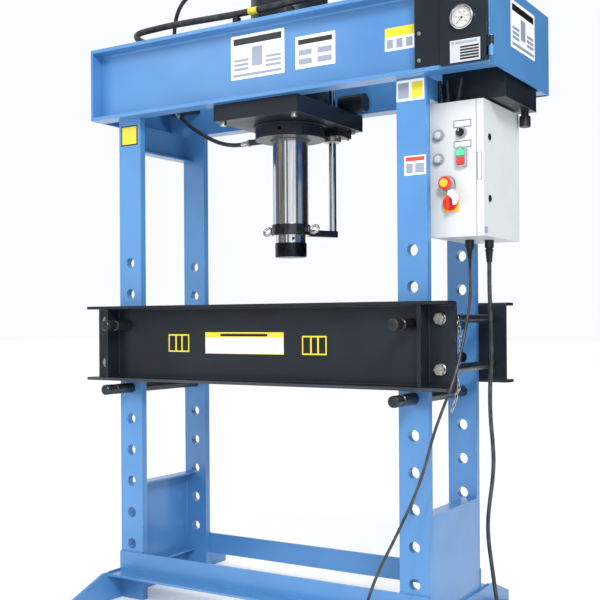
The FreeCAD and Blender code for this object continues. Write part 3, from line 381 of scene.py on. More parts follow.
tag_inner, tag_outer, tag_half = SUPPLY_THICK / 2 + 0.1, SUPPLY_THICK / 2 + 0.9, 17
bm = bmesh.new()
ring(bm, [(tag_inner, -tag_half), (tag_outer, -tag_half), (tag_outer, tag_half), (tag_inner, tag_half)],
     at(-25, -177.5, 1993), (1, 0, 0), closed=True)
piece("hose_tag", bm, "root", "hose_rubber", yellow_film)

# ---- Floor and light ----
# A pale studio floor under an even white sky, one large soft lamp high on the right, and dark and grey screens
# beside the set that only the polished and glossy parts show.


def stage_plane(name, bm, tone, glow=0.0):
    """A piece of the studio, not of the press."""
    mesh = bpy.data.meshes.new(name)
    bm.to_mesh(mesh)
    bm.free()
    made = bpy.data.objects.new(name, mesh)
    bpy.context.collection.objects.link(made)
    material, tree, shader = new_material(name)
    shader.inputs["Base Color"].default_value = srgb(tone)
    shader.inputs["Roughness"].default_value = 0.9
    shader.inputs["Emission Color"].default_value = srgb(tone)
    shader.inputs["Emission Strength"].default_value = glow
    mesh.materials.append(material)
    return made


FLOOR_HALF = 40
bm = bmesh.new()
bmesh.ops.create_grid(bm, x_segments=1, y_segments=1, size=FLOOR_HALF)
stage_plane("floor", bm, "#f6f7f7", glow=0.12)

SCREEN_RADIUS, SCREEN_HIGH = 6.0, 4.6
for name, start, end, tone in (("screen_right", -24, 96, "#0b0d10"), ("screen_left", -166, -96, "#5d5853"),
                               ("screen_front", -84, -74, "#3a3836")):
    bm = bmesh.new()
    turn = math.radians(start)
    foot = bm.verts.new((SCREEN_RADIUS * math.cos(turn), SCREEN_RADIUS * math.sin(turn), 0.01))
    bmesh.ops.spin(bm, geom=[foot], cent=(0, 0, 0), axis=(0, 0, 1), angle=math.radians(end) - turn, steps=24)
    raised = bmesh.ops.extrude_edge_only(bm, edges=list(bm.edges))["geom"]
    bmesh.ops.translate(bm, vec=(0, 0, SCREEN_HIGH),
                        verts=[v for v in raised if isinstance(v, bmesh.types.BMVert)])
    screen = stage_plane(name, bm, tone)
    screen.visible_camera = False
    screen.visible_shadow = False
    screen.visible_diffuse = False

for name, place, size, watts, aim in (("key", (3.4, -4.4, 4.6), 1.6, 300, (0, 0, 1.2)),
                                      ("fill", (-3.6, -5.0, 2.2), 3.0, 70, (0, 0, 1.0))):
    lamp = bpy.data.lights.new(name, "AREA")
    lamp.size = size
    lamp.energy = watts
    holder = bpy.data.objects.new(name, lamp)
    bpy.context.collection.objects.link(holder)
    holder.location = place
    holder.rotation_euler = (Vector(aim) - Vector(place)).to_track_quat("-Z", "Y").to_euler()

bpy.context.scene.view_settings.view_transform = "Standard"
sky = bpy.data.worlds.new("studio")
bpy.context.scene.world = sky
sky.use_nodes = True
background = sky.node_tree.nodes["Background"]
background.inputs["Color"].default_value = srgb("#f4f6f8")
background.inputs["Strength"].default_value = 1.06

# ---- Upright bars, side plates, floor angles and feet ----
# Flame-cut flat bars and folded sheet, welded into one frame. They are sprayed with a blue gloss enamel that
# settles with a faint orange peel, thins on the edges and pools a little darker on the wide faces.


def enamel(name, tone, deep, edge, rough, coat, chip_start=0.0):
    """Sprayed gloss enamel: orange peel about 6 mm across, rounded arrises, and rubbed paint on the edges."""
    material, tree, shader = new_material(name)
    cloud = pattern(tree, "TexNoise", 420, Detail=3.0, Roughness=0.55)
    body_colour = shade(tree, cloud, srgb(deep), srgb(tone), 0.3, 0.62)
    rounded = node(tree, "Bevel", {"Radius": 2.2 * MM}, samples=4)
    flat = node(tree, "NewGeometry")
    facing = node(tree, "VectorMath", {0: rounded.outputs["Normal"], 1: flat.outputs["Normal"]},
                  operation="DOT_PRODUCT")
    chips = pattern(tree, "TexNoise", 22, Detail=6.0, Roughness=0.7)
    worn = node(tree, "MapRange", {"Value": facing.outputs["Value"], "From Min": 0.985, "From Max": 0.80})
    rubbed = node(tree, "MapRange", {"Value": chips.outputs["Fac"], "From Min": 0.5 - chip_start,
                                     "From Max": 0.62 - chip_start})
    both = node(tree, "Math", {0: worn.outputs["Result"], 1: rubbed.outputs["Result"]}, operation="MULTIPLY")
    mixed = node(tree, "MixRGB", {"Fac": both.outputs["Value"], "Color1": body_colour, "Color2": srgb(edge)})
    tree.links.new(mixed.outputs["Color"], shader.inputs["Base Color"])
    dust = pattern(tree, "TexNoise", 90, Detail=5.0)
    roughen(tree, shader, dust, rough - 0.06, rough + 0.12)
    peel = pattern(tree, "TexNoise", 6, Detail=1.5)
    bump(tree, shader, peel, 0.045, rounded.outputs["Normal"])
    shader.inputs["IOR"].default_value = 1.5
    shader.inputs["Coat Weight"].default_value = coat
    shader.inputs["Coat Roughness"].default_value = 0.12
    return material


blue_enamel = enamel("blue_gloss_enamel", "#4b84bb", "#4177ae", "#89b1d8", 0.33, 0.35)
black_enamel = enamel("black_gloss_enamel", "#1a222b", "#12181f", "#4b535b", 0.33, 0.1)
black_enamel.node_tree.nodes["Principled BSDF"].inputs["Specular IOR Level"].default_value = 0.32


def paint(material, *names):
    """Finish CAD nodes whose shape stays as it is."""
    for name in names:
        for holder in nodes[name].material_slots:
            holder.material = material


paint(blue_enamel, "upright_front_left", "upright_front_right", "upright_rear_left", "upright_rear_right",
      "side_plates", "base_angles", "floor_feet", "head_front_beam", "head_rear_beam", "head_left_plate",
      "head_right_cover", "cabinet_straps")


RIPPLE = 3.2


def weld(name, seams, wide_mm, material, slot):
    """Hand-laid weld beads: a ripple every 3 mm or so, swelling and thinning along each seam."""
    curve = round_wire(name, wide_mm, 1)
    for start, end in seams:
        start, end = at(*start), at(*end)
        count = max(4, round((end - start).length / (RIPPLE * MM)))
        spline = curve.splines.new("POLY")
        spline.points.add(count)
        for i, point in enumerate(spline.points):
            point.co = (*start.lerp(end, i / count), 1.0)
            point.radius = 1.0 + 0.13 * (-1) ** i + 0.10 * math.sin(i * 0.37)
    return finish(name, curve, "root", slot, material)


FRAME_FACE, BAR_BACK = 193.5, 168.5
HEAD_FOOT, ANGLE_TOP, ANGLE_SHELF = 1691, 166, 101
seams = []
for side in (-1, 1):
    outer, inner, plate = side * 600, side * 502, side * 594
    for front in (-FRAME_FACE, FRAME_FACE):
        back = math.copysign(BAR_BACK, front)
        seams += [((outer, front, HEAD_FOOT), (inner, front, HEAD_FOOT)),
                  ((outer, front, 91), (outer, front, ANGLE_TOP - 2)),
                  ((plate, back, ANGLE_TOP), (plate, back, ANGLE_TOP + 230)),
                  ((outer, front, ANGLE_SHELF), (outer, math.copysign(260, front), ANGLE_SHELF)),
                  ((inner, front, ANGLE_TOP), (outer, front, ANGLE_TOP))]
    seams.append(((outer, -BAR_BACK, ANGLE_SHELF), (outer, BAR_BACK, ANGLE_SHELF)))
weld("frame_welds", seams, 6.5, blue_enamel, "blue_paint")


FILM_THICK, LAYER_THICK = 0.3, 0.12
WHOLE = (0, 0, 1, 1)


def label(name, facing, wall, low, high, fields, body="root", slot="blue_paint"):
    """Printed film on a wall facing -Y or +X; each field is left, bottom, right, top in parts of one."""
    bm = bmesh.new()
    materials = []
    for layer, (left, bottom, right, top, material) in enumerate(fields):
        if material not in materials:
            materials.append(material)
        u0, u1 = (low[0] + (high[0] - low[0]) * part for part in (left, right))
        v0, v1 = (low[1] + (high[1] - low[1]) * part for part in (bottom, top))
        rise = FILM_THICK + LAYER_THICK * layer
        corners = (((u0, wall - rise, v0), (u1, wall, v1)) if facing == "front"
                   else ((wall, u0, v0), (wall + rise, u1, v1)))
        made = bar(bm, *corners)
        for face in {f for v in made for f in v.link_faces}:
            face.material_index = materials.index(material)
    return piece(name, bm, body, slot, *materials)


label("upright_plate_high", "front", -FRAME_FACE, (503, 1626), (593, 1688),
      [(*WHOLE, white_film), (0.05, 0.12, 0.45, 0.88, grey_film), (0.55, 0.12, 0.95, 0.88, yellow_film)])
label("upright_plate_low", "front", -FRAME_FACE, (527, 1405), (597, 1462),
      [(*WHOLE, white_film), (0.06, 0.72, 0.94, 0.94, film("red_vinyl_film", "#d8403a")),
       (0.08, 0.1, 0.4, 0.6, grey_film), (0.5, 0.1, 0.92, 0.6, grey_film)])
label("upright_plate_left", "front", -FRAME_FACE, (-590, 1600), (-515, 1670),
      [(*WHOLE, black_film), (0.06, 0.06, 0.94, 0.94, yellow_film)])

# ---- Head ----
# Two rolled channels with a plate across the left end and a folded sheet cover on the right, welded and painted
# with the frame. Plain printed plates stand where such a machine has its rating fields.
COVER_FACE = 817
rating_rows = [(left, 0.40 - 0.1 * i, left + 0.28, 0.46 - 0.1 * i, grey_film)
               for left in (0.06, 0.66) for i in range(3)]
rating_fields = [(*WHOLE, white_film), (0.05, 0.78, 0.95, 0.93, black_film),
                 (0.40, 0.26, 0.60, 0.70, grey_film), *rating_rows, (0.05, 0.06, 0.95, 0.12, grey_film)]
label("head_plate_left", "front", -FRAME_FACE, (-106, 1770), (104, 1914), rating_fields)
label("head_plate_middle", "front", -FRAME_FACE, (146, 1773), (292, 1875),
      [(*WHOLE, white_film), (0.07, 0.74, 0.93, 0.90, black_film),
       *[(left, foot, right, foot + 0.18, grey_film)
         for foot in (0.40, 0.12) for left, right in ((0.08, 0.42), (0.56, 0.92))]])
label("head_plate_right", "front", -FRAME_FACE, (465, 1782), (562, 1851),
      [(*WHOLE, white_film), (0, 0.60, 1, 1, yellow_film),
       *[(left, 0.10, left + 0.22, 0.50, grey_film) for left in (0.06, 0.39, 0.72)]])
label("cover_plate", "right", COVER_FACE, (-77, 1774), (130, 1914), rating_fields)

# ---- Cylinder, ram and guide ----
# A welded barrel bolted through a thick plate, a screwed gland ring, and a ground and hard-chromed rod with a
# blackened nose. A clamped collar carries two eye bolts and an arm for the guide rod, which slides in a bush.
paint(black_enamel, "mount_plate", "cylinder_barrel", "gland_ring", "guide_block")


def hard_chrome(name, tone, rough):
    """Ground and polished hard chrome: a mirror broken by fine rings round the rod and faint upright rubs."""
    material, tree, shader = new_material(name)
    shader.inputs["Metallic"].default_value = 1.0
    rings = pattern(tree, "TexNoise", 60, (1, 1, 0.02), Detail=3.0)
    rubs = pattern(tree, "TexNoise", 3, (1, 1, 90), Detail=4.0)
    tint(tree, shader, rubs, srgb(tone), srgb("#e9ebee"), 0.35, 0.65)
    roughen(tree, shader, rubs, rough, rough + 0.14)
    bump(tree, shader, rings, 0.006)
    return material


rod_chrome = hard_chrome("hard_chrome", "#b4b8bf", 0.07)
# Blackened steel for the ram's nose; the same material is painted shade in the locks' key slots.
blackened_and_slot_shade = plated("blackened_steel_and_slot_shade", "#2c2e31", 0.28, 1.2, (1, 1, 0.1), 0.015, tarnish="#1b1c1e")
dark_collar = plated("dark_turned_steel", "#4a4e53", 0.24, 1.5, (1, 1, 0.15), 0.02, tarnish="#33363a")
bronze = plated("pale_bronze_bush", "#c9bfb0", 0.42, 1.0, (1, 1, 0.2), 0.02, tarnish="#a3947c")
# Black seal rubber for the rod seal; the same material is painted shade in the spanner holes further down.
seal_rubber_and_hole_shade = moulded("nitrile_seal_and_hole_shade", "#131415", 0.6)
paint(rod_chrome, "ram_rod", "guide_rod")
paint(blackened_and_slot_shade, "ram_nose")
paint(dark_collar, "rod_collar")
paint(zinc, "lifting_eyes", "piston", "frame_bolts")
paint(seal_rubber_and_hole_shade, "rod_seal")
paint(bronze, "guide_bush")

PLATE_UNDERSIDE, BLOCK_UNDERSIDE = 1637, 1612
PLATE_SCREW, BLOCK_SCREW = 9, 5  # head radii


def socket_screw(bm, place, radius):
    """Cap screw seen from below: knurled rim, chamfered end and a hexagon socket."""
    down = (0, 0, -1)
    ring(bm, [(radius, 0), (radius, radius * 0.95), (radius * 0.88, radius * 1.1),
              (radius * 0.55, radius * 1.1), (radius * 0.5, radius * 0.5), (0, radius * 0.5)], place, down,
         steps=24)
    ring(bm, [(radius * 0.5, radius * 1.09), (radius * 0.46, radius * 0.5), (0, radius * 0.5)], place, down,
         steps=6)


bm = bmesh.new()
for x, y in ((-138, -190), (138, -190), (-138, 190), (138, 190)):
    socket_screw(bm, at(x, y, PLATE_UNDERSIDE), PLATE_SCREW)
for x, y in ((40, 108), (122, 108), (40, 184), (122, 184)):
    socket_screw(bm, at(x, y, BLOCK_UNDERSIDE), BLOCK_SCREW)
piece("cylinder_screws", bm, "root", "bright_steel", zinc)

RING_RADIUS, NECK_RADIUS = 119, 51
HOLE_TURN = math.radians(-48)


def round_the_axis(outline, radius, height, turns, steps):
    """A turned shape let into a round face at each angle, pointing outwards from the cylinder's axis."""
    bm = bmesh.new()
    for turn in turns:
        out = (math.cos(turn), math.sin(turn), 0)
        ring(bm, outline, at(out[0] * radius, out[1] * radius, height), out, steps=steps)
    return bm


# Painted shade: the gland ring's spanner holes are shallow dishes in the black seal rubber, standing in for the
# dark inside the holes.
bm = round_the_axis([(8.5, -1.5), (8.5, 0.6), (7.5, 0.9), (6.2, 0.9), (5.6, -1.4), (0, -1.4)],
                    RING_RADIUS - 0.4, 1618, [HOLE_TURN + math.pi / 2 * i for i in range(4)], 32)
piece("gland_ring_spanner_holes", bm, "root", "black_paint", seal_rubber_and_hole_shade)
bm = bmesh.new()
for height in (1596, 1632):
    ring(bm, [(RING_RADIUS - 0.3, -1.2), (RING_RADIUS + 0.5, -0.6), (RING_RADIUS + 0.5, 0.6),
              (RING_RADIUS - 0.3, 1.2)], at(0, 0, height), steps=96, closed=True)
for height in (1634, 1639):
    ring(bm, [(120, -2.4), (125, -1.4), (125, 1.4), (120, 2.4)], at(0, 0, height), steps=96, closed=True)
piece("gland_ring_rims", bm, "root", "black_paint", black_enamel)

# Painted shade: the neck's spanner holes are thin black discs, standing in for the dark inside the holes.
bm = round_the_axis([(5.2, 0.25), (4.6, 0.35), (4.2, 0.05), (0, 0.02)], NECK_RADIUS, 1254,
                    [HOLE_TURN, HOLE_TURN + math.pi], 28)
piece("neck_spanner_holes", bm, "ram", "black_steel", seal_rubber_and_hole_shade)
bm = bmesh.new()
ring(bm, [(51.2, -0.7), (54.2, 0), (51.2, 0.7)], at(0, 0, 1240.4), steps=96, closed=True)
ring(bm, [(60.5, -0.8), (63.6, 0), (60.5, 0.8)], at(0, 0, 1303), steps=96, closed=True)
piece("ram_polished_edges", bm, "ram", "chrome_plate", rod_chrome)
bm = bmesh.new()
for side in (-1, 1):
    ring(bm, [(9.5, 8.8), (11, 9.6), (11, 12.4), (9.5, 13)], at(side * 64, 0, 1284), (side, 0, 0), steps=6,
         closed=True)
piece("eye_bolt_nuts", bm, "ram", "bright_steel", zinc, crease=20)
bm = bmesh.new()
ring(bm, [(13.4, 0), (28, 0), (30, 1.2), (30, 3.2), (28, 4.4), (13.4, 4.4)], at(80, 147, 1596.6), steps=64,
     closed=True)
piece("guide_felt_ring", bm, "root", "bright_steel", bronze)

# ---- Bed and its pins ----
# Two channels pressed from 10 mm plate, tied together by four bolts with spacer tubes and hung on round pins.
# Black enamel, rubbed thin along the lower flange; bright nuts, and chains that keep the pins' clips.
paint(black_enamel, "bed_front_channel", "bed_rear_channel", "bed_spacers")
pin_steel = enamel("dark_dipped_pin", "#1b1e21", "#14161a", "#5b5f62", 0.32, 0.15, chip_start=0.04)
paint(pin_steel, "pin_upper_left", "pin_upper_right", "pin_lower_left", "pin_lower_right")

BED_WEB = 205
barred_fields = [(*WHOLE, yellow_film), *[(left, 0.08, right, 0.92, black_film)
                                          for left, right in ((0.05, 0.33), (0.40, 0.62), (0.69, 0.95))]]
label("bed_plate_left", "front", -BED_WEB, (-369, 873), (-280, 933), barred_fields, slot="black_paint")
label("bed_plate_right", "front", -BED_WEB, (171, 869), (261, 929), barred_fields, slot="black_paint")
label("bed_plate_middle", "front", -BED_WEB, (-211, 869), (102, 940),
      [(*WHOLE, yellow_film), (0.006, 0.03, 0.994, 0.74, white_film), (0.20, 0.81, 0.80, 0.93, black_film),
       *[(0.05, 0.62 - 0.085 * i, 0.05 + span, 0.635 - 0.085 * i, grey_film)
         for i, span in enumerate((0.52, 0.42, 0.58, 0.64, 0.50, 0.36))]], slot="black_paint")

rubbed_black = enamel("rubbed_black_enamel", "#3a3f45", "#24292f", "#6a7076", 0.3, 0.2)
label("bed_rubbed_edge", "front", -265, (-688, 772.5), (688, 781.5), [(*WHOLE, rubbed_black)],
      slot="black_paint")

weld("bed_welds", [((x, front, 790), (x, front, 1013))
                   for front in (-BED_WEB - 0.5, BED_WEB + 0.5) for x in (-609, -595, 595, 609)],
     5.5, black_enamel, "black_paint")

TIE_BOLT_X, WASHER_THICK = 645, 3
washer = [(9.6, 0), (17.5, 0), (17.5, 2.4), (16.5, WASHER_THICK), (9.6, WASHER_THICK)]
thread = [(8.0, 10)] + [(8.3 + 0.5 * (i % 2), 14 + 1.1 * i) for i in range(6)] + [(7.4, 20.4), (0, 20.4)]
bm = bmesh.new()
for x in (-TIE_BOLT_X, TIE_BOLT_X):
    for height in (832, 980):
        for front in (-1, 1):
            out = (0, front, 0)
            ring(bm, washer, at(x, front * BED_WEB, height), out, closed=True)
            ring(bm, thread, at(x, front * (BED_WEB - WASHER_THICK), height), out, steps=28)
piece("tie_bolt_washers", bm, "root", "bright_steel", zinc, crease=25)

TO_FRONT = (0, -1, 0)
PIN_X, PIN_RADIUS, PIN_FACE, PIN_SHOULDER = 551, 17.4, -327.5, -318
for level, height in (("upper", 964), ("lower", 744)):
    for side, x in (("left", -PIN_X), ("right", PIN_X)):
        bm = bmesh.new()
        ring(bm, [(11.5, 0.2), (11.2, -0.25), (9.6, -0.25), (9.3, 0.25), (0, 0.3)], at(x, PIN_FACE, height),
             TO_FRONT, steps=36)
        ring(bm, [(PIN_RADIUS - 0.2, -1.1), (PIN_RADIUS + 0.5, -0.4), (PIN_RADIUS + 0.5, 0.4),
                  (PIN_RADIUS - 0.2, 1.1)], at(x, PIN_SHOULDER, height), (0, 1, 0), steps=48, closed=True)
        piece(f"pin_{level}_{side}_turned_end", bm, f"pin_{level}_{side}", "pin_steel", pin_steel)


CHAIN_WIRE, LINK_LONG, LINK_WIDE = 2.4, 19.0, 12.0
LINK_POINTS = 16


def chain(name, places):
    """Welded steel chain: oval links, each turned a quarter against the last, hung through the places given."""
    curve = round_wire(name, CHAIN_WIRE, 2)
    pitch = (LINK_LONG - 2 * CHAIN_WIRE) * MM
    joints = [at(*places[0])]
    for place in places[1:]:
        while (at(*place) - joints[-1]).length >= pitch:
            joints.append(joints[-1] + (at(*place) - joints[-1]).normalized() * pitch)
    bend_radius = (LINK_WIDE - CHAIN_WIRE) / 2 * MM
    straight = (LINK_LONG - LINK_WIDE) / 2 * MM
    for number, (start, end) in enumerate(zip(joints, joints[1:])):
        along = (end - start).normalized()
        across = along.cross(Vector((0.3, 1, 0.1))).normalized()
        if number % 2:
            across = along.cross(across)
        spline = curve.splines.new("POLY")
        spline.use_cyclic_u = True
        spline.points.add(LINK_POINTS - 1)
        for i, point in enumerate(spline.points):
            turn = 2 * math.pi * i / LINK_POINTS
            to_bend = max(-1, min(1, math.cos(turn) * 4)) * straight
            place = ((start + end) / 2 + along * (math.cos(turn) * bend_radius + to_bend)
                     + across * math.sin(turn) * bend_radius)
            point.co = (*place, 1.0)
    finish(name, curve, "root", "bright_steel", zinc)


chain("chain_right", [(674, -152, 985), (681, -151, 950), (684, -150, 905), (681, -150, 862), (676, -151, 838)])
chain("chain_right_tail", [(671, -160, 812), (682, -156, 792), (680, -154, 765), (664, -154, 752),
                           (671, -154, 735), (655, -155, 705)])
chain("chain_left", [(-661, 168, 984), (-668, 165, 930), (-668, 165, 860), (-660, 168, 800), (-640, 175, 758),
                     (-615, 182, 728), (-606, 186, 712)])

# ---- Oil tank ----
# Black enamelled sheet box that hangs under the head's right end, with a ribbed drain cap.
paint(black_enamel, "oil_tank", "hydraulic_blocks")
paint(black_moulding, "drain_cap")


def grip_ribs(bm, centre, radius, count, size):
    """Upright ribs evenly round a cap; size is outwards, along the rim and up, in millimetres."""
    for i in range(count):
        rib = bmesh.ops.create_cube(bm, size=1.0)["verts"]
        bmesh.ops.scale(bm, vec=Vector(size) * MM, verts=rib)
        bmesh.ops.translate(bm, vec=(radius * MM, 0, 0), verts=rib)
        turn = Matrix.Rotation(2 * math.pi * i / count, 4, "Z")
        bmesh.ops.transform(bm, matrix=Matrix.Translation(centre) @ turn, verts=rib)


cap_low, cap_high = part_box("drain_cap")
bm = bmesh.new()
grip_ribs(bm, ((cap_low[0] + cap_high[0]) / 2, (cap_low[1] + cap_high[1]) / 2, cap_low[2] + 16 * MM), 17, 24,
          (1.5, 1.6, 26))
piece("drain_cap_ribs", bm, "root", "cap_plastic", black_moulding)
# A thin light grey plate just under the tank's bottom, lighter than the black enamel around it.
bm = bmesh.new()
soften(bm, bar(bm, (620, -70, 1625.6), (700, 150, 1627)), 0.5)
piece("tank_grey_underside_patch", bm, "root", "black_paint", film("grey_underside_film", "#8f9694", 0.6))
tank_corner = (803, -88, 1628)
weld("tank_welds", [((604, -88, 1628), tank_corner), (tank_corner, (803, 183, 1628)),
                    (tank_corner, (803, -88, 1690))], 2.6, black_enamel, "black_paint")

# ---- Front panel, gauge door and pressure gauge ----
# Folded black sheet fills the head's open end, and a narrow door on two pins carries a stainless-cased gauge
# with a white card dial under glass and a satin rating plate left without print.
paint(black_enamel, "front_panel", "gauge_door")
stainless = plated("stainless_bezel", "#d5d6d6", 0.16, 1.2, (1, 1, 1), 0.01, tarnish="#a9abad")
paint(stainless, "gauge_case")
paint(black_moulding, "gauge_needle")
GAUGE_X, GAUGE_Z = 742, 1824
DIAL_FACE, DIAL_RADIUS, TICK_RADIUS, FIGURE_RADIUS = -262.0, 28.8, 25.5, 16.8
SCALE_START, SCALE_SWEEP, SCALE_TICKS = 225, 270, 50
LONG_TICK, SHORT_TICK = (4.2, 0.12, 0.7), (2.2, 0.12, 0.35)
dial_paper = film("white_dial_card", "#cdcecb", 0.5)
dial_ink = film("dial_ink", "#1a1a1c", 0.5)
dial_red = film("dial_red_ink", "#c8443c", 0.5)
bm = bmesh.new()
ring(bm, [(DIAL_RADIUS, 0), (DIAL_RADIUS, 0.3), (0, 0.3)], at(GAUGE_X, DIAL_FACE, GAUGE_Z), TO_FRONT, steps=64)
for i in range(SCALE_TICKS + 1):
    size = SHORT_TICK if i % 5 else LONG_TICK
    turn = Matrix.Rotation(-math.radians(SCALE_START - SCALE_SWEEP * i / SCALE_TICKS), 4, "Y")
    tick = bmesh.ops.create_cube(bm, size=1.0)["verts"]
    bmesh.ops.scale(bm, vec=Vector(size) * MM, verts=tick)
    bmesh.ops.translate(bm, vec=((TICK_RADIUS - size[0] / 2) * MM, 0, 0), verts=tick)
    bmesh.ops.transform(bm, verts=tick,
                        matrix=Matrix.Translation(at(GAUGE_X, DIAL_FACE - 0.36, GAUGE_Z)) @ turn)
    for face in {f for v in tick for f in v.link_faces}:
        face.material_index = 1
piece("gauge_dial", bm, "gauge_door", "dial_white", dial_paper, dial_ink)
for number in range(0, 11, 2):
    turn = math.radians(SCALE_START - SCALE_SWEEP * number / 10)
    letters = bpy.data.curves.new("dial_number", "FONT")
    letters.body = str(number * 40)
    letters.size = 5.6 * MM
    letters.extrude = 0.05 * MM
    letters.align_x = "CENTER"
    letters.align_y = "CENTER"
    written = bpy.data.objects.new("dial_number", letters)
    mesh = bpy.data.meshes.new_from_object(written)
    bpy.data.objects.remove(written)
    middle = at(GAUGE_X + FIGURE_RADIUS * math.cos(turn), DIAL_FACE - 0.4,
                GAUGE_Z + FIGURE_RADIUS * math.sin(turn))
    mesh.transform(Matrix.Translation(middle) @ Matrix.Rotation(math.radians(90), 4, "X"))
    mesh.materials.clear()
    finish(f"dial_figure_{number}", mesh, "gauge_door", "dial_white", dial_ink)
bm = bmesh.new()
ring(bm, [(9.5, 0), (10.1, 0), (10.1, 0.2), (9.5, 0.2)], at(GAUGE_X, DIAL_FACE - 0.3, GAUGE_Z), TO_FRONT,
     steps=48, closed=True)
piece("gauge_red_scale", bm, "gauge_door", "dial_white", dial_red)
bm = bmesh.new()
ring(bm, [(28.9, -1.0), (30.5, 0.9), (33.0, 1.2), (34.4, 0.2), (34.6, -2.0), (34.45, -6)],
     at(GAUGE_X, DIAL_FACE - 6, GAUGE_Z), TO_FRONT, steps=72)
piece("gauge_rolled_rim", bm, "gauge_door", "black_steel", stainless)
clear, tree, shader = new_material("gauge_glass")
shader.inputs["Alpha"].default_value = 0.08
shader.inputs["Base Color"].default_value = srgb("#101214")
shader.inputs["IOR"].default_value = 1.45
smears = pattern(tree, "TexNoise", 20, Detail=3.0)
roughen(tree, shader, smears, 0.0, 0.05)
bm = bmesh.new()
ring(bm, [(DIAL_RADIUS, 0), (DIAL_RADIUS, 0.5), (27.5, 1.1), (0, 1.5)], at(GAUGE_X, DIAL_FACE - 4.6, GAUGE_Z),
     TO_FRONT, steps=64)
piece("gauge_glass", bm, "gauge_door", "dial_white", clear)

label("door_plate", "front", -256.0, (703, 1700.5), (794, 1763),
      [(*WHOLE, film("satin_aluminium_plate", "#b4b7bb", 0.28)), (0.05, 0.80, 0.14, 0.94, grey_film),
       (0.18, 0.82, 0.9, 0.92, grey_film),
       *[(0.34, 0.62 - 0.13 * i, 0.95, 0.70 - 0.13 * i, dial_ink) for i in range(5)]],
      body="gauge_door", slot="black_paint")
bm = bmesh.new()
for height in (1804, 1726):
    ring(bm, [(5.6, 0), (5.6, 1.2), (4.6, 2.4), (1.8, 2.9), (1.6, 1.6), (0, 1.6)], at(601, -243.5, height),
         TO_FRONT, steps=28)
piece("panel_screws", bm, "root", "bright_steel", zinc)
bm = bmesh.new()
for height in (1709, 1737, 1763, 1909, 1936):
    ring(bm, [(3.1, -0.6), (6.6, -0.5), (6.6, 0.5), (3.1, 0.6)], at(825, -250, height), steps=32, closed=True)
piece("hinge_washers", bm, "gauge_door", "bright_steel", zinc)

# ---- Control cabinet ----
# Steel wall box in pale grey powder coat with a fine pebble, whose lid is its right side. Moulded controls
# stand on the box's front, two flush locks in the lid, and black polyamide glands carry the cords.


def powder_coat(name, tone, rough):
    """Powder coat: matt pale colour over a pebble 1.2 mm across, with soft handling marks."""
    material, tree, shader = new_material(name)
    marks = pattern(tree, "TexNoise", 120, Detail=4.0)
    tint(tree, shader, marks, srgb(tone), srgb("#bdc0c0"), 0.45, 0.95)
    roughen(tree, shader, marks, rough, rough + 0.12)
    pebble = pattern(tree, "TexNoise", 1.2, Detail=2.0)
    bump(tree, shader, pebble, 0.02)
    return material


cabinet_coat = powder_coat("grey_powder_coat", "#c6c9c9", 0.42)
satin_grey = moulded("satin_grey_bezel", "#94979c", 0.3)
signal_red = moulded("signal_red_plastic", "#d3261f", 0.26, coat=0.3)
key_red = moulded("red_key_cap", "#e02f2a", 0.28, coat=0.3)
key_green = moulded("green_key_cap", "#4fd08c", 0.28, coat=0.3)
signal_yellow = moulded("signal_yellow_plastic", "#d9ab1c", 0.32)
lens_white = moulded("frosted_lens", "#b9bcc0", 0.35, coat=0.4)
card_white = film("white_card", "#d0d1d2", 0.55)
paint(cabinet_coat, "cabinet_body", "cabinet_door")
paint(satin_grey, "control_bezels")
paint(black_moulding, "selector_knob", "glands_and_fittings", "control_plug", "lock_upper", "lock_lower")
paint(signal_red, "estop_button", "main_switch_knob")
paint(moulded("red_plug", "#a82420", 0.38), "mains_plug")
paint(jacket, "cabinet_cables")

CABINET_FACE, DOOR_FACE = 131, 752
card_fields = [(*WHOLE, film("violet_grey_rim", "#626280", 0.5)), (0.05, 0.13, 0.95, 0.87, card_white)]
for name, foot, top in (("cabinet_plate_upper", 1542, 1564), ("cabinet_plate_lower", 1482, 1503)):
    label(name, "front", -CABINET_FACE, (658, foot), (714, top), card_fields, slot="cabinet_paint")
label("lid_mark", "right", DOOR_FACE, (-128, 1229), (-104, 1248),
      [(*WHOLE, film("blue_grey_square", "#8c9fb5", 0.5)), (0.1, 0.1, 0.9, 0.5, grey_film)],
      body="cabinet_door", slot="cabinet_paint")
seam_shadow = film("seam_shadow", "#5e6165", 0.8)
label("lid_seam", "front", -CABINET_FACE, (728.6, 1222), (730.2, 1620), [(*WHOLE, seam_shadow)],
      slot="cabinet_paint")
label("lid_recess", "front", -CABINET_FACE, (731, 1384), (746, 1465),
      [(*WHOLE, seam_shadow), (0.14, 0.01, 0.9, 0.985, cabinet_coat)], body="cabinet_door",
      slot="cabinet_paint")

LAMP_X, LAMP_FACE, LAMP_HEIGHTS = 611, -143, (1525, 1454)
SELECTOR_X, SELECTOR_Z = 682, 1527
bm = bmesh.new()
for height in LAMP_HEIGHTS:
    ring(bm, [(10.5, 0), (10.5, 1.5), (9, 3.0), (4.5, 3.9), (0, 4.1)], at(LAMP_X, LAMP_FACE, height), TO_FRONT)
piece("lamp_lenses", bm, "root", "bezel_grey", lens_white)
bm = bmesh.new()
for height in LAMP_HEIGHTS:
    ring(bm, [(10.8, 0), (13.6, 0), (13.6, 1.6), (12.8, 2.2), (11.4, 2.2), (10.8, 1.4)],
         at(LAMP_X, LAMP_FACE, height), TO_FRONT, steps=48, closed=True)
    ring(bm, [(14.8, 0), (18.4, 0), (18.0, 1.4), (15.4, 2.2), (14.8, 1.6)], at(LAMP_X, -CABINET_FACE, height),
         TO_FRONT, steps=48, closed=True)
ring(bm, [(14.8, 0), (18.6, 0), (18.2, 1.4), (15.4, 2.2), (14.8, 1.6)],
     at(SELECTOR_X, -CABINET_FACE, SELECTOR_Z), TO_FRONT, steps=48, closed=True)
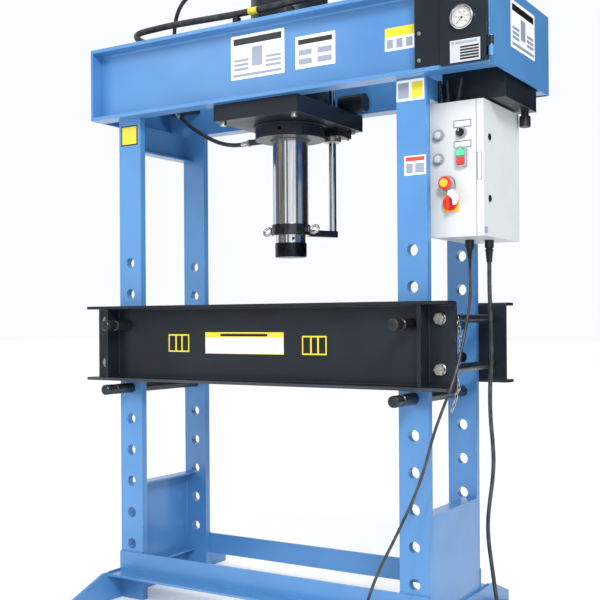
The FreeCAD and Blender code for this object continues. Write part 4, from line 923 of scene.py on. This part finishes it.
piece("bezel_rims", bm, "root", "bezel_grey", satin_grey)

knob_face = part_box("selector_knob")[0][1] / MM
bm = bmesh.new()
bar(bm, (SELECTOR_X - 0.8, knob_face - 0.4, 1528), (SELECTOR_X + 0.8, knob_face, 1539))
piece("selector_pointer", bm, "selector_knob", "knob_black", card_white)


KEY_X, KEY_HALF, KEY_HIGH = 684, 12.4, 11
KEY_FOOT, KEY_FACE, RIM_FACE, TWIN_MIDDLE = -137, -146, -143.6, 1455


def half_round(x_half, z_half, foot, side, steps):
    """Half an oval about the keys' upright centre line, bulging up where side is 1 and down where it is -1."""
    turns = [math.pi * i / steps for i in range(steps + 1)]
    return [(KEY_X + x_half * math.cos(turn), foot + side * z_half * math.sin(turn)) for turn in turns]


def thicken(bm, depth_mm):
    """Pull flat faces along Y into a solid, and turn its faces outwards."""
    grown = bmesh.ops.extrude_face_region(bm, geom=list(bm.faces))["geom"]
    bmesh.ops.translate(bm, vec=(0, depth_mm * MM, 0),
                        verts=[v for v in grown if isinstance(v, bmesh.types.BMVert)])
    bmesh.ops.recalc_face_normals(bm, faces=bm.faces)


def half_round_key(name, node_name, middle, side, material, slot):
    """Key cap of a twin push button: one straight edge, the other a half round, with soft rims."""
    bm = bmesh.new()
    outline = half_round(KEY_HALF, KEY_HIGH, middle, side, 20)
    outline += [(x, middle - side * KEY_HIGH) for x in (KEY_X - KEY_HALF, KEY_X + KEY_HALF)]
    bm.faces.new([bm.verts.new(at(x, KEY_FOOT, z)) for x, z in outline])
    thicken(bm, KEY_FACE - KEY_FOOT)
    rim = [e for e in bm.edges if all(abs(v.co.y - KEY_FACE * MM) < 1e-5 for v in e.verts)]
    bmesh.ops.bevel(bm, geom=rim, offset=1.1 * MM, segments=3, profile=0.5, affect="EDGES", clamp_overlap=True,
                    material=-1)
    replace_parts(piece(name, bm, node_name, slot, material), node_name)


half_round_key("green_key", "green_button", 1468.5, 1, key_green, "button_green")
half_round_key("red_key", "red_button", 1441.5, -1, key_red, "button_red")
bm = bmesh.new()
for side in (1, -1):
    outer, inner = (half_round(x_half, z_half, TWIN_MIDDLE + side * 15, side, 24)
                    for x_half, z_half in ((16.4, 15.5), (13.4, 12.4)))
    for edge in (outer, inner):
        edge.insert(0, (edge[0][0], TWIN_MIDDLE))
        edge.append((edge[-1][0], TWIN_MIDDLE))
    for a, b, c, d in zip(outer, outer[1:], inner, inner[1:]):
        bm.faces.new([bm.verts.new(at(x, RIM_FACE, z)) for x, z in (a, b, d, c)])
bmesh.ops.remove_doubles(bm, verts=bm.verts, dist=0.02 * MM)
thicken(bm, 1.6)
piece("twin_button_rim", bm, "root", "bezel_grey", satin_grey)

ESTOP_X, ESTOP_Z = 640, 1379
bm = bmesh.new()
ring(bm, [(12.6, 0), (12.6, 0.5), (11.6, 0.8), (0, 0.9)], at(ESTOP_X, -165, ESTOP_Z), TO_FRONT, steps=48)
piece("estop_cap_disc", bm, "estop_button", "button_red", signal_yellow)
bm = bmesh.new()
ring(bm, [(20.5, 0), (24.5, 0), (24.5, 1.6), (23.5, 2.4), (20.5, 2.4)], at(ESTOP_X, -CABINET_FACE, ESTOP_Z),
     TO_FRONT, steps=64, closed=True)
piece("estop_ground_ring", bm, "root", "bezel_grey", satin_grey)
SWITCH_X, SWITCH_Z, GRIP_FACE = 649, 1321, -160.2
label("switch_ground", "front", -CABINET_FACE - 3, (SWITCH_X - 25, SWITCH_Z - 25),
      (SWITCH_X + 25, SWITCH_Z + 25), [(*WHOLE, film("signal_yellow_ground", "#f5c518", 0.4))],
      slot="bezel_grey")
bm = bmesh.new()
grip = bar(bm, (SWITCH_X - 5.5, GRIP_FACE, SWITCH_Z - 19), (SWITCH_X + 5.5, -146, SWITCH_Z + 19))
soften(bm, grip, 1.8, segments=3)
ring(bm, [(3.6, 0), (3.6, 0.5), (1.8, 0.7), (1.6, -0.2), (0, -0.2)], at(SWITCH_X, GRIP_FACE, SWITCH_Z),
     TO_FRONT, steps=24)
piece("main_switch_grip", bm, "main_switch_knob", "button_red", signal_red)

TAG_BACK = -163.6
tag_outline = [(653, 1355), (668, 1358), (679, 1353), (678, 1345), (688, 1340), (686, 1331), (679, 1313),
               (668, 1311), (666, 1330), (651, 1344)]
bm = bmesh.new()
bm.faces.new([bm.verts.new(at(x, TAG_BACK, z)) for x, z in tag_outline])
thicken(bm, -0.8)
ring(bm, [(2.8, 0), (2.8, 1.2), (0, 1.2)], at(676, -163.4, 1352), TO_FRONT, steps=20)
piece("key_tag", bm, "root", "cap_plastic", card_white)
line("key_tag_string", [(664, -146, 1392), (669, -157, 1386), (677, -163, 1372), (676, -164.6, 1353)], 1.6,
     black_moulding, "cap_plastic")

LOCK_Y = -91
for name, height in (("lock_upper", 1513), ("lock_lower", 1332)):
    bm = bmesh.new()
    ring(bm, [(8.2, 0), (11.4, 0), (11.4, 0.8), (10.6, 1.4), (8.2, 1.4)], at(DOOR_FACE, LOCK_Y, height),
         (1, 0, 0), closed=True)
    piece(f"{name}_collar", bm, "cabinet_door", "cabinet_paint", cabinet_coat)
    # Painted shade: the key slot is a thin blackened bar on the lock's face, standing in for the dark inside
    # the keyway.
    bm = bmesh.new()
    bar(bm, (756.0, LOCK_Y - 1.2, height - 5), (756.8, LOCK_Y + 1.2, height + 5))
    piece(f"{name}_slot", bm, name, "knob_black", blackened_and_slot_shade)

bm = bmesh.new()
for x in (612, 634, 668):
    grip_ribs(bm, at(x, -112, 1628), 9, 12, (1.2, 1.4, 9))
piece("gland_ribs", bm, "root", "gland_plastic", black_moulding)

# ---- Plugs ----
# A red moulded industrial plug ends the mains lead and a black one the control lead; each has bright pins.
for plug, end, out, count, reach, radius in (("mains_plug", 0, -1, 4, 8, 2.6),
                                             ("control_plug", 1, 1, 3, 4, 1.3)):
    corners = [Vector(corner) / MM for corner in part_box(plug)]
    _, middle_y, middle_z = (corners[0] + corners[1]) / 2
    bm = bmesh.new()
    for i in range(count):
        turn = 2 * math.pi * (i + 0.5) / count
        ring(bm, [(radius, -0.2), (radius, 0.15), (radius * 0.7, 0.25), (0, 0.25)],
             at(corners[end][0], middle_y + reach * math.cos(turn), middle_z + reach * math.sin(turn)),
             (out, 0, 0), steps=16)
    piece(f"{plug}_pins", bm, "root", "bright_steel", zinc)
